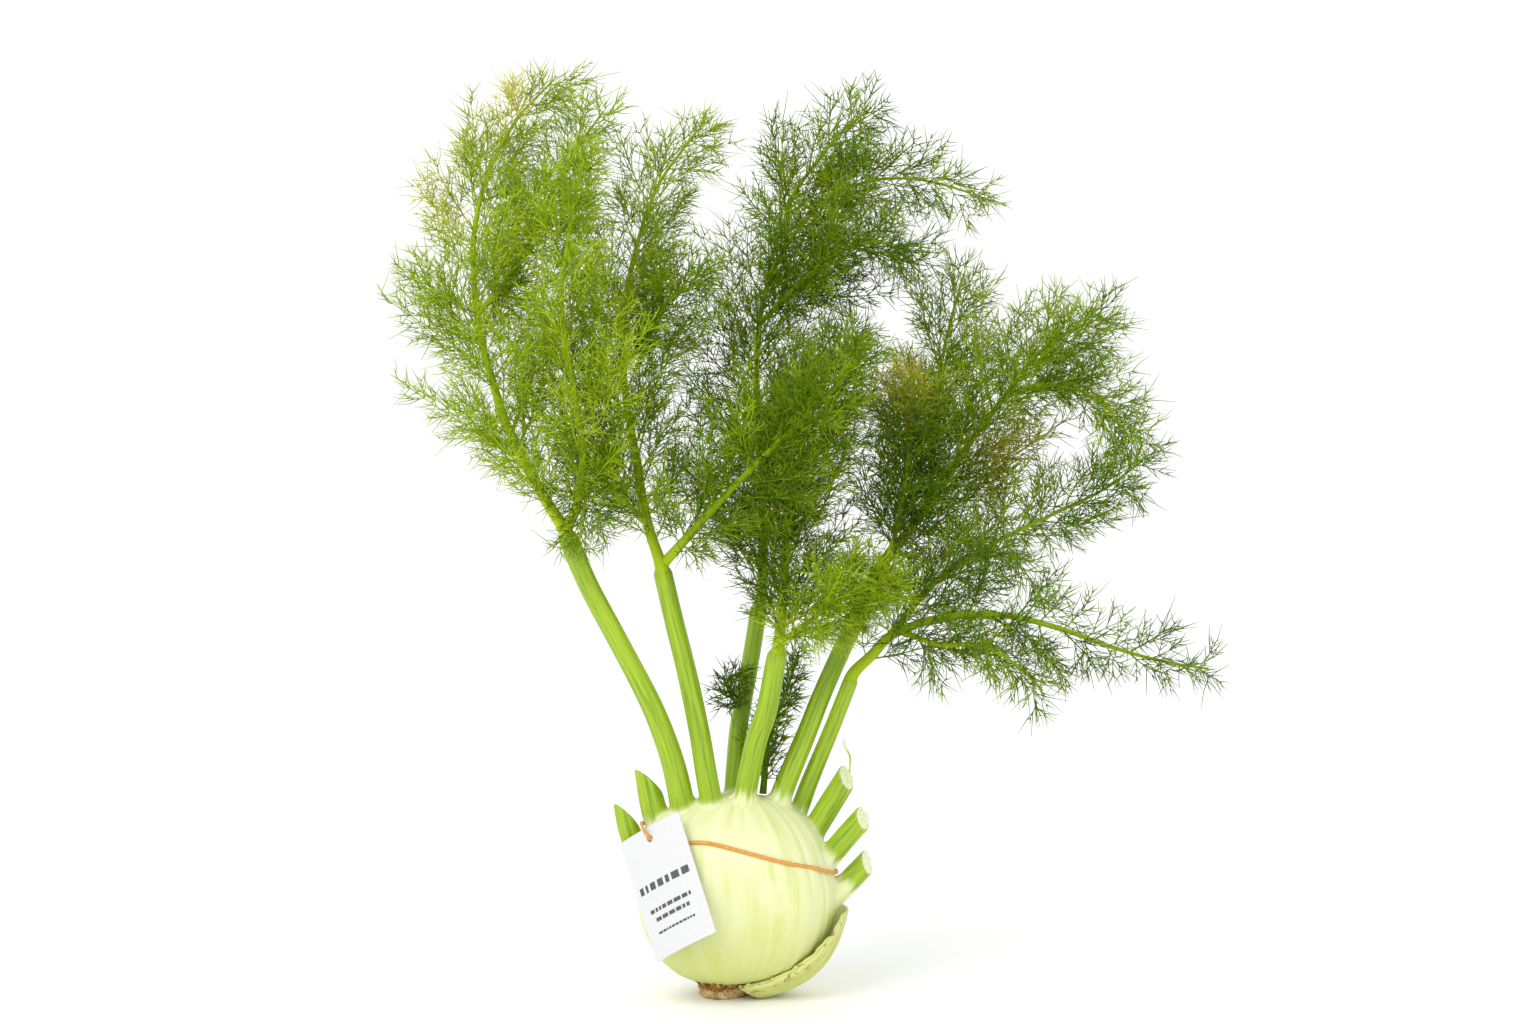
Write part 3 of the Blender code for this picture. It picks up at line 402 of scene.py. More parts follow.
def skin_material():
    """Skin of bulb and stalks: green share, cut share and grain come from the mesh, and a height share paints
    shade, darker and greener towards the bottom of the bulb.
    """
    n = Nodes("bulb_and_stalk_skin", 0.36, Subsurface_Weight=0.12, Subsurface_Scale=0.006)
    n.shader.inputs["Subsurface Radius"].default_value = (1.0, 0.9, 0.35)
    share = n.split(n.attribute("share").outputs["Color"])
    green, cut, shade = share[0], share[1], share[2]
    grain = n.attribute("grain").outputs["Vector"]
    where = n.node("ShaderNodeTexCoord").outputs["Object"]
    veins = n.noise(grain, 1.0, 4.0)
    fine = n.noise(grain, 3.2, 3.0)
    cloud = n.noise(where, 38.0, 3.0)
    pale = n.ramp(veins, (0.30, (0.62, 0.67, 0.24)), (0.50, (0.72, 0.76, 0.38)), (0.66, (0.80, 0.82, 0.50)))
    pale = n.mix(n.ramp(cloud, (0.42, BLACK), (0.62, WHITE)), pale, (0.76, 0.79, 0.47))
    # painted shade: the pale skin darkens towards the bottom of the bulb, following the height share
    low = n.ramp(shade, (0.0, WHITE), (1.0, BLACK))
    pale = n.mix(n.maths("MULTIPLY", low, 0.75), pale, (0.56, 0.61, 0.13))
    stem = n.ramp(veins, (0.30, (0.14, 0.27, 0.001)), (0.50, (0.27, 0.42, 0.002)),
                  (0.70, (0.38, 0.54, 0.012)))
    stem = n.mix(n.ramp(fine, (0.45, BLACK), (0.62, (0.45, 0.45, 0.45))), stem, (0.42, 0.57, 0.03))
    body = n.mix(green, pale, stem)
    rings = n.noise(where, 900.0, 3.0)
    flesh = n.ramp(rings, (0.35, (0.62, 0.70, 0.30)), (0.65, (0.88, 0.90, 0.66)))
    body = n.mix(cut, body, flesh)
    height = n.mix(0.5, veins, fine)
    rough = n.ramp(cloud, (0.3, (0.30, 0.30, 0.30)), (0.7, (0.46, 0.46, 0.46)))
    return n.finish(body, height, 0.0006, 0.45, rough)


def sheath_material():
    """Loose outer sheath: pale yellow green, greener at the tip, brown spots near its rim."""
    n = Nodes("sheath_skin", 0.42, Subsurface_Weight=0.1, Subsurface_Scale=0.004)
    share = n.split(n.attribute("share").outputs["Color"])
    green, rim = share[0], share[1]
    grain = n.attribute("grain").outputs["Vector"]
    where = n.node("ShaderNodeTexCoord").outputs["Object"]
    veins = n.noise(grain, 1.0, 4.0)
    pale = n.ramp(veins, (0.32, (0.46, 0.49, 0.09)), (0.5, (0.60, 0.63, 0.18)), (0.66, (0.72, 0.74, 0.33)))
    leaf = n.ramp(veins, (0.35, (0.22, 0.42, 0.01)), (0.6, (0.52, 0.66, 0.10)))
    body = n.mix(green, pale, leaf)
    spots = n.noise(where, 260.0, 2.0)
    marks = n.maths("MULTIPLY", n.ramp(spots, (0.56, BLACK), (0.66, WHITE)), rim)
    body = n.mix(marks, body, (0.30, 0.16, 0.02))
    return n.finish(body, veins, 0.0006, 0.5)


def root_material():
    """Trimmed root plate: tan cut tissue with darker, torn bark."""
    n = Nodes("root_skin", 0.8)
    where = n.node("ShaderNodeTexCoord").outputs["Object"]
    broad = n.noise(where, 190.0, 5.0, (1, 1, 1.6), 0.65)
    fine = n.noise(where, 900.0, 3.0)
    colour = n.ramp(broad, (0.32, (0.20, 0.09, 0.015)), (0.44, (0.52, 0.35, 0.13)),
                    (0.56, (0.70, 0.55, 0.28)))
    colour = n.mix(n.ramp(fine, (0.4, (0.5, 0.5, 0.5)), (0.6, BLACK)), colour, (0.24, 0.11, 0.02))
    return n.finish(colour, n.mix(0.5, broad, fine), 0.0012, 0.9)


def bark_material():
    """Torn brown flakes of old leaf base."""
    n = Nodes("bark_flakes", 0.75)
    where = n.node("ShaderNodeTexCoord").outputs["Object"]
    broad = n.noise(where, 420.0, 4.0)
    colour = n.ramp(broad, (0.35, (0.16, 0.06, 0.008)), (0.55, (0.42, 0.20, 0.03)), (0.7, (0.62, 0.42, 0.14)))
    return n.finish(colour, broad, 0.0006, 0.8)


def frond_material():
    """Leaf threads: a tone from dark to light green and a share of yellow, both on the mesh."""
    n = Nodes("frond_threads", 0.5, Specular_IOR_Level=0.15)
    shade = n.split(n.attribute("shade").outputs["Color"])
    green = n.ramp(shade[0], (0.0, (0.030, 0.080, 0.001)), (0.35, (0.110, 0.205, 0.001)),
                   (0.65, (0.27, 0.40, 0.002)), (1.0, (0.46, 0.60, 0.02)))
    warm = n.ramp(shade[0], (0.0, (0.30, 0.20, 0.03)), (0.6, (0.70, 0.58, 0.06)), (1.0, (0.86, 0.72, 0.20)))
    return n.finish(n.mix(shade[1], green, warm))


def band_material():
    """Orange rubber with a dusty bloom."""
    n = Nodes("band_rubber", 0.42)
    where = n.node("ShaderNodeTexCoord").outputs["Object"]
    dust = n.noise(where, 700.0, 3.0)
    colour = n.ramp(dust, (0.35, (0.62, 0.24, 0.02)), (0.65, (0.74, 0.36, 0.07)))
    return n.finish(colour, dust, 0.0001, 0.4)


def card_material():
    """White card with a faint tooth."""
    n = Nodes("tag_card", 0.55)
    where = n.node("ShaderNodeTexCoord").outputs["Object"]
    tooth = n.noise(where, 1500.0, 3.0)
    colour = n.ramp(tooth, (0.3, (0.64, 0.64, 0.65)), (0.7, (0.70, 0.70, 0.71)))
    return n.finish(colour, tooth, 0.00005, 0.5)


def ink_material():
    """Grey print."""
    n = Nodes("tag_ink", 0.6)
    where = n.node("ShaderNodeTexCoord").outputs["Object"]
    tone = n.noise(where, 900.0, 2.0)
    return n.finish(n.ramp(tone, (0.3, (0.05, 0.05, 0.055)), (0.7, (0.11, 0.11, 0.12))))


def floor_material():
    """Plain white studio floor."""
    n = Nodes("floor", 0.9)
    n.shader.inputs["Base Color"].default_value = (0.95, 0.95, 0.955, 1)
    return n.material


# ---------------------------------------------------------------- bulb and stalks
def bulb_section(number):
    """Heights, middles, half widths and half thicknesses at an array of section numbers."""
    height, left, right, thick = spline(BULB_SECTIONS, number).T
    return height, (left + right) / 2, (right - left) / 2, thick


def bulb_points(angle, number, swell=0.0):
    """Points on the bulb's skin at arrays of angles and section numbers, moved out by swell."""
    height, middle, wide, thick = bulb_section(number)
    power = 2 / BULB_POWER
    c, s = np.cos(angle), np.sin(angle)
    return np.stack((middle + (wide + swell) * np.sign(c) * np.abs(c) ** power,
                     (thick + swell) * np.sign(s) * np.abs(s) ** power, height), axis=1)


PALM_AROUND, PALM_ALONG = 160, 90


def palm_grid():
    """Points of the finely meshed bulb, row by row from the root up."""
    rows = np.linspace(0, len(BULB_SECTIONS) - 1, PALM_ALONG)
    turns = 2 * np.pi * np.arange(PALM_AROUND) / PALM_AROUND
    number, angle = [grid.ravel() for grid in np.meshgrid(rows, turns, indexing="ij")]
    places = bulb_points(angle, number)
    middle = np.array([0.007, 0.0, 0.055])
    out = unit(places - middle)
    up = number / (len(BULB_SECTIONS) - 1)
    # upright ribs, strongest below
    ribs = np.sin(angle * 40 + 3 * np.sin(angle * 5)) * 0.00035 * np.clip(1.1 - up * 1.6, 0, 1)
    # overlapping leaf bases show as low steps
    steps = 0.0007 * np.sin(angle * 7 + 2.1 * up + 0.8) * np.clip(up * 3, 0, 1) * np.clip((1 - up) * 3, 0, 1)
    return places + out * (ribs + steps)[:, None]


def ring_faces(rows, around):
    """Quads of a closed tube grid plus its two end caps."""
    index = np.arange(rows * around).reshape(rows, around)
    low, high = index[:-1], index[1:]
    quads = np.stack((low, np.roll(low, -1, axis=1), np.roll(high, -1, axis=1), high), axis=-1).reshape(-1, 4)
    return [tuple(quad) for quad in quads] + [tuple(index[0][::-1]), tuple(index[-1])]


def stalk_axis(name, beyond=0.0):
    """Fine axis points and half widths of a stalk, carried on past its end."""
    points, halves, _flat, _foot = STALKS[name]
    axis = walk(points, 0.0025)
    if beyond:
        end = unit(axis[-1] - axis[-2])
        axis = np.vstack((axis, axis[-1] + end * beyond / 2, axis[-1] + end * beyond))
    share = np.linspace(0, len(halves) - 1, len(axis))
    return axis, spline([(half,) for half in halves], share)[:, 0]


def near_axis(places, name, beyond):
    """Signed distance to a stalk's side, and how far along and round it each place is."""
    axis, halves = stalk_axis(name, beyond)
    flat = STALKS[name][2]
    squeeze = np.array([1, 1 / flat, 1])
    start, end = axis[:-1] * squeeze, axis[1:] * squeeze
    run = end - start
    length = np.linalg.norm(np.diff(axis, axis=0), axis=1)
    passed = np.concatenate(([0], np.cumsum(length)))
    best = np.full(len(places), np.inf)
    along = np.zeros(len(places))
    offset = np.zeros((len(places), 3))
    scaled = places * squeeze
    for k in range(len(run)):
        t = np.clip((scaled - start[k]) @ run[k] / (run[k] @ run[k]), 0, 1)
        arm = scaled - start[k] - t[:, None] * run[k]
        gap = np.linalg.norm(arm, axis=1) - (halves[k] + (halves[k + 1] - halves[k]) * t)
        closer = gap < best
        best[closer] = gap[closer]
        along[closer] = (passed[k] + t * length[k])[closer]
        offset[closer] = arm[closer]
    return best, along, offset


def soft_min(a, b, reach):
    """Union of two distances with a fillet."""
    h = np.clip(reach - np.abs(a - b), 0, None) / reach
    return np.minimum(a, b) - h * h * reach / 4


def palm_distance(tree, places):
    """Signed distance to the bulb's own skin."""
    found = np.empty(len(places))
    for k, place in enumerate(places):
        spot, normal, _face, gap = tree.find_nearest(Vector(place))
        found[k] = gap if (Vector(place) - spot).dot(normal) > 0 else -gap
    return found


def skin_distance(tree, places):
    """Signed distance to bulb and stalks together, with fillets where they meet."""
    total = None
    for name in STALKS:
        side, _along, _offset = near_axis(places, name, 0.007 if name in CUT_PLANES else 0.0)
        if name in CUT_PLANES:
            point, normal = CUT_PLANES[name]
            normal = unit(np.array(normal))
            side = -soft_min(-side, -((places - np.array(point)) @ normal), 0.0009)
        total = side if total is None else soft_min(total, side, 0.0016)
    return soft_min(total, palm_distance(tree, places), 0.0045)


def make_skin():
    """One skin over the bulb and all its stalks, remeshed evenly and drawn towards the shape's surface."""
    places = palm_grid()
    faces = ring_faces(PALM_ALONG, PALM_AROUND)
    palm = mesh_from("palm", places, faces, None)
    triangles = bmesh.new()
    triangles.from_mesh(palm)
    bmesh.ops.recalc_face_normals(triangles, faces=triangles.faces)
    tree = BVHTree.FromBMesh(triangles)
    for name in STALKS:
        axis, halves = stalk_axis(name, 0.007 if name in CUT_PLANES else 0.0)
        place, faces, _shade, _caps = tubes(axis[None], halves[None], 20, np.zeros((1, len(axis), 2)))
        stem = bmesh.new()
        corners = [stem.verts.new(spot) for spot in place]
        for face in faces:
            stem.faces.new([corners[k] for k in face])
        stem.faces.new(corners[:20][::-1])
        stem.faces.new(corners[-20:])
        if name in CUT_PLANES:
            point, normal = CUT_PLANES[name]
            cut = bmesh.ops.bisect_plane(stem, geom=stem.verts[:] + stem.edges[:] + stem.faces[:],
                                         plane_co=point, plane_no=unit(np.array(normal)), clear_outer=True)
            rim = [part for part in cut["geom_cut"] if isinstance(part, bmesh.types.BMEdge)]
            bmesh.ops.edgenet_fill(stem, edges=rim)
        bmesh.ops.recalc_face_normals(stem, faces=stem.faces)
        part = bpy.data.meshes.new(name)
        stem.to_mesh(part)
        stem.free()
        triangles.from_mesh(part)
    joined = bpy.data.meshes.new("joined")
    triangles.to_mesh(joined)
    triangles.free()
    rough = add_piece("rough", joined)
    remesh = rough.modifiers.new("remesh", "REMESH")
    remesh.mode = "VOXEL"
    remesh.voxel_size = 0.0010
    graph = bpy.context.evaluated_depsgraph_get()
    mesh = bpy.data.meshes.new_from_object(rough.evaluated_get(graph))
    bpy.data.objects.remove(rough, do_unlink=True)
    count = len(mesh.vertices)
    spots = np.empty(count * 3)
    normals = np.empty(count * 3)
    for _ in range(4):
        mesh.vertices.foreach_get("co", spots)
        mesh.vertex_normals.foreach_get("vector", normals)
        places = spots.reshape(-1, 3)
        away = skin_distance(tree, places)
        places = places - normals.reshape(-1, 3) * np.clip(away, -0.0015, 0.0015)[:, None]
        mesh.vertices.foreach_set("co", places.ravel())
        mesh.update()
        relax(mesh, 0.35)
    paint_skin(mesh)
    mesh.shade_smooth()
    mesh.materials.clear()
    mesh.materials.append(skin_material())
    mesh.name = "bulb_and_stalks"
    skin = add_piece("bulb_and_stalks", mesh)
    finish_piece(skin, "bulb_skin", "bulb", *STALKS)
    return tree


def relax(mesh, share):
    """Slide vertices along the surface towards the middle of their neighbours."""
    count = len(mesh.vertices)
    spots = np.empty(count * 3)
    normals = np.empty(count * 3)
    mesh.vertices.foreach_get("co", spots)
    mesh.vertex_normals.foreach_get("vector", normals)
    places, normals = spots.reshape(-1, 3), normals.reshape(-1, 3)
    edges = np.empty(len(mesh.edges) * 2, int)
    mesh.edges.foreach_get("vertices", edges)
    a, b = edges.reshape(-1, 2).T
    total = np.zeros((count, 3))
    number = np.zeros(count)
    np.add.at(total, a, places[b])
    np.add.at(total, b, places[a])
    np.add.at(number, a, 1)
    np.add.at(number, b, 1)
    move = total / number[:, None] - places
    move -= normals * np.sum(move * normals, axis=1, keepdims=True)
    mesh.vertices.foreach_set("co", (places + move * share).ravel())
    mesh.update()


def smooth_step(value, low, high):
    """Zero below low, one above high, smooth between."""
    t = np.clip((value - low) / (high - low), 0, 1)
    return t * t * (3 - 2 * t)


def paint_skin(mesh):
    """Green share, cut share, a height share for the painted shade low on the bulb, and grain coordinates on
    the skin's vertices.
    """
    count = len(mesh.vertices)
    spots = np.empty(count * 3)
    mesh.vertices.foreach_get("co", spots)
    places = spots.reshape(-1, 3)
    height, middle, wide, thick = bulb_section(np.linspace(0, len(BULB_SECTIONS) - 1, 200))
    cx = np.interp(places[:, 2], height, middle)
    half = np.interp(places[:, 2], height, wide)
    deep = np.interp(places[:, 2], height, thick)
    turn = np.arctan2(places[:, 1] / deep, (places[:, 0] - cx) / half)
    grain = np.stack((9 * np.cos(turn), 9 * np.sin(turn), places[:, 2] * 14), axis=1)
    green = np.zeros(count)
    cut = np.zeros(count)
    nearest = np.full(count, 0.003)
    for number, name in enumerate(STALKS):
        side, along, offset = near_axis(places, name, 0.007 if name in CUT_PLANES else 0.0)
        foot = STALKS[name][3]
        mine = side < nearest
        around = np.arctan2(offset[:, 1], offset[:, 0])
        own = np.stack((3.4 * np.cos(around) + 30 * number, 3.4 * np.sin(around), along * 22), axis=1)
        grain[mine] = own[mine]
        ragged = 0.0016 * np.sin(around * 5 + number) + 0.0010 * np.sin(around * 11 + 2 * number)
        share = smooth_step(along + ragged, foot, foot + 0.0075) * smooth_step(0.0022 - side, 0, 0.0022)
        green = np.maximum(green, share)
        nearest = np.where(mine, np.maximum(side, 0), nearest)
        if name in CUT_PLANES:
            point, normal = CUT_PLANES[name]
            level = (places - np.array(point)) @ unit(np.array(normal))
            cut = np.maximum(cut, smooth_step(level, -0.0006, -0.0001) * smooth_step(0.002 - side, 0, 0.0022)
                             * smooth_step(-side, 0.0003, 0.0010))
    colour = np.ones((count, 4))
    colour[:, 0] = green
    colour[:, 1] = cut
    # height share: drives the painted shade that darkens the bulb's lower skin
    colour[:, 2] = smooth_step(places[:, 2], 0.010, 0.075)
    layer = mesh.attributes.new("share", "FLOAT_COLOR", "POINT")
    layer.data.foreach_set("color", colour.ravel())
    lines = mesh.attributes.new("grain", "FLOAT_VECTOR", "POINT")
    lines.data.foreach_set("vector", grain.ravel())


# ---------------------------------------------------------------- fronds
def limb_axis(name):
    """Fine axis of a limb, from inside what it grows on to its tip, and its half widths."""
    parent, points, half, _longest = LIMBS[name]
    points = [np.array(point) for point in points]
    if name.endswith(("_main", "_outer")):
        axis, halves = stalk_axis(parent)
        points = [axis[-3], axis[-1] + unit(axis[-1] - axis[-2]) * 0.006] + points[1:]
        foot = halves[-1] * 0.97
    else:
        foot = half
        if parent:
            base = walk(STALKS[parent][0] if parent in STALKS else LIMBS[parent][1], 0.002)
            nearest = base[np.argmin(np.linalg.norm(base - points[0], axis=1))]
            points[0] = nearest
    axis = walk(points, 0.0035)
    share = np.linspace(0, 1, len(axis))
    halves = half + (LIMB_TIP - half) * share ** 0.75
    swell = np.exp(-(share * len(axis) * 0.0035 / 0.010) ** 2)
    return axis, halves + (foot - half) * swell


def curved(starts, headings, bends, lengths, points):
    """Paths that leave along headings and bend steadily; one row per path."""
    share = np.linspace(0, 1, points)[None, :, None]
    reach = lengths[:, None, None]
    return starts[:, None] + headings[:, None] * share * reach + bends[:, None] * share ** 2 * reach


def shoots(paths, steps, spread, rng, skip=0.1, pairs=2, twist=2.1):
    """Where side shoots leave a set of parent paths.

    Returns the parent's number, its share of the way, start, tangent and outward direction.
    """
    along = tangents(paths)
    count = paths.shape[1] - 1
    owners, shares, starts, runs, outs = [], [], [], [], []
    for number in range(len(paths)):
        steps_here = int(steps[number])
        if steps_here < 1:
            continue
        share = skip + (1 - skip) * (np.arange(steps_here) + rng.uniform(0.3, 0.7)) / steps_here
        place = share * count
        low = np.minimum(place.astype(int), count - 1)
        part = (place - low)[:, None]
        start = paths[number, low] * (1 - part) + paths[number, low + 1] * part
        run = unit(along[number, low] * (1 - part) + along[number, low + 1] * part)
        first = rng.uniform(0, 2 * np.pi)
        for arm in range(pairs):
            turn = first + twist * np.arange(steps_here) + 2 * np.pi * arm / pairs
            turn = turn + rng.uniform(-spread, spread, steps_here)
            side = unit(np.cross(run, [0.21, 0.37, 0.9]))
            up = np.cross(run, side)
            out = side * np.cos(turn)[:, None] + up * np.sin(turn)[:, None]
            owners.append(np.full(steps_here, number))
            shares.append(share)
            starts.append(start)
            runs.append(run)
            outs.append(out)
    return (np.concatenate(owners), np.concatenate(shares), np.concatenate(starts),
            np.concatenate(runs), np.concatenate(outs))


def leaf_profile(share):
    """Length of side shoots along a limb: quickly up to full, then down towards the tip."""
    return np.clip(np.minimum(0.45 + 2.2 * share, 1.0) * (1.08 - share) ** 0.65, 0.12, 1)


def patch(places, centre, radius):
    """How strongly places lie in a round patch of yellowed leaf."""
    return np.exp(-np.sum((places - np.array(centre)) ** 2, axis=-1) / radius ** 2)


YELLOW_PATCHES = [((-0.129, -0.010, 0.495), 0.020), ((-0.079, -0.030, 0.492), 0.016),
                  ((-0.160, -0.020, 0.450), 0.018), ((0.016, 0.030, 0.452), 0.014),
                  ((0.094, -0.020, 0.348), 0.020), ((0.152, 0.010, 0.300), 0.016),
                  ((0.060, -0.030, 0.330), 0.012)]


def warmth(places, rng):
    """Yellow share of shoots that start at the given places."""
    share = sum(patch(places, centre, radius) for centre, radius in YELLOW_PATCHES)
    return np.clip(share * rng.uniform(0.6, 1.6, len(places)), 0, 1)


# Habit of each limb's leaf: closeness of its leaflets, tone of its threads, length of threads
HABITS = {
    "frond_a_outer": (1.05, 0.74, 1.15), "frond_a_inner": (1.05, 0.70, 1.15),
    "frond_a_back": (1.2, 0.76, 1.1),
    "frond_b_main": (1.05, 0.60, 1.15), "frond_b_front": (1.5, 0.42, 1.0), "frond_b_low": (1.0, 0.45, 1.0),
    "frond_b_side": (1.3, 0.50, 1.0), "frond_c_main": (0.95, 0.42, 1.2), "frond_c_top": (0.85, 0.46, 1.2),
    "frond_c_side": (1.5, 0.36, 1.0), "frond_d_main": (1.8, 0.38, 1.0), "frond_d_front": (2.0, 0.66, 1.0),
    "frond_e_main": (1.05, 0.44, 1.2), "frond_e_top": (0.9, 0.50, 1.2), "frond_e_upright": (0.95, 0.48, 1.2),
    "frond_e_inner": (1.7, 0.32, 1.0), "frond_f_main": (0.62, 0.30, 1.1), "frond_f_back": (1.0, 0.42, 1.15),
    "frond_f_front": (0.7, 0.34, 1.1), "heart_leaf": (1.0, 0.30, 1.2), "curled_leaf": (1.0, 0.16, 1.2)}
BOX_LOW = np.array(CAD_BOX[0]) - 0.011
BOX_HIGH = np.array(CAD_BOX[1]) + 0.011


def inside(paths):
    """Which paths stay in the frame's box, widened by 11 mm on each side."""
    return np.all((paths > BOX_LOW) & (paths < BOX_HIGH), axis=(1, 2))


def make_frond(name, material, rng):
    """One limb with leaflets, leaflets' shoots and their threads, in one mesh."""
    close, base_tone, thread = HABITS[name]
    longest = LIMBS[name][3] * 1.25
    axis, halves = limb_axis(name)
    length = 0.0035 * len(axis)
    young = name in ("heart_leaf", "curled_leaf")
    batch = Batch()
    tone = np.interp(np.linspace(0, 1, len(axis)), [0, 0.25, 1], [0.92, 0.80, 0.60])
    tone = tone * (0.75 + 0.4 * base_tone)
    if young:
        tone = tone * 0 + 0.22
    batch.add(axis[None], halves[None], 8, np.stack((tone, tone * 0), axis=-1)[None])

    steps = [max(3, round(length * close / (0.0088 if not young else 0.0022)))]
    _owner, share, start, run, out = shoots(axis[None], steps, 0.6, rng, 0.07, 2, 1.15)
    reach = longest * leaf_profile(share) * rng.uniform(0.55, 1.05, len(share))
    lean = rng.uniform(0.45, 0.95, (len(share), 1))
    heading = unit(out * 0.9 + run * lean + rng.normal(0, 0.14, out.shape))
    bend = run * 0.28 + np.array([0, 0, 0.12]) + rng.normal(0, 0.16, out.shape)
    first = curved(start, heading, bend, reach, 9)
    keep = inside(first)
    first, reach, share = first[keep], reach[keep], share[keep]
    first_tone = base_tone + rng.uniform(-0.14, 0.16, len(share))
    warm = warmth(first[:, 5], rng)
    taper = np.linspace(1, 0.35, 9)
    shade = np.stack((np.broadcast_to(first_tone[:, None], (len(share), 9)) + 0.12 * taper,
                      np.broadcast_to(warm[:, None], (len(share), 9))), axis=-1)
    batch.add(first, 0.00060 * taper[None] * (0.6 + 0.6 * reach / longest)[:, None], 4, np.clip(shade, 0, 1))

    steps = np.maximum(1, np.round(reach / 0.0058))
    owner, share, start, run, out = shoots(first, steps, 0.7, rng, 0.14, 2, 1.35)
    reach2 = (0.0225 * thread * leaf_profile(share) * (0.55 + 0.45 * reach[owner] / longest)
              * rng.uniform(0.6, 1.15, len(share)))
    if young:
        reach2 = reach2 * 0.45
    heading = unit(out * 0.85 + run * rng.uniform(0.55, 1.0, (len(share), 1)))
    bend = run * 0.25 + rng.normal(0, 0.18, out.shape)
    second = curved(start, heading, bend, reach2, 5)
    keep = inside(second)
    second, reach2, owner = second[keep], reach2[keep], owner[keep]
    tone2 = first_tone[owner] + rng.uniform(-0.10, 0.12, len(owner))
    warm2 = np.clip(warm[owner] + rng.uniform(-0.1, 0.1, len(owner)) * (warm[owner] > 0.1), 0, 1)
    taper = np.linspace(1, 0.5, 5)
    shade = np.stack((tone2[:, None] + np.linspace(0, 0.06, 5)[None],
                      np.broadcast_to(warm2[:, None], (len(owner), 5))), axis=-1)
    batch.add(second, np.broadcast_to(0.00036 * taper[None], (len(owner), 5)), 3, np.clip(shade, 0, 1))

    steps = np.maximum(1, np.round(reach2 / 0.0035))
    owner, share, start, run, out = shoots(second, steps, 0.7, rng, 0.12, 2, 1.4)
    reach3 = 0.0122 * thread * leaf_profile(share) * rng.uniform(0.55, 1.2, len(share))
    if young:
        reach3 = reach3 * 0.6
    heading = unit(out * 0.75 + run * rng.uniform(0.6, 1.2, (len(share), 1)))
    bend = run * 0.3 + rng.normal(0, 0.16, out.shape)
    third = curved(start, heading, bend, reach3, 3)
    keep = inside(third)
    third, owner = third[keep], owner[keep]
    tone3 = tone2[owner] + rng.uniform(-0.06, 0.12, len(owner))
    shade = np.stack((tone3[:, None] + np.linspace(0, 0.08, 3)[None],
                      np.broadcast_to(warm2[owner][:, None], (len(owner), 3))), axis=-1)
    batch.add(third, np.broadcast_to(np.array([0.00030, 0.00026, 0.00013])[None], (len(owner), 3)), 3,
              np.clip(shade, 0, 1))
    piece = batch.build(name + "_leaf", material)
    finish_piece(piece, "frond_leaf", name)


def make_fronds():
    """Every frond limb."""
    rng = np.random.default_rng(SEED)
    material = frond_material()
    for name in LIMBS:
        make_frond(name, material, rng)


# ---------------------------------------------------------------- outer sheath
SHEATH_AROUND, SHEATH_ALONG = 60, 80


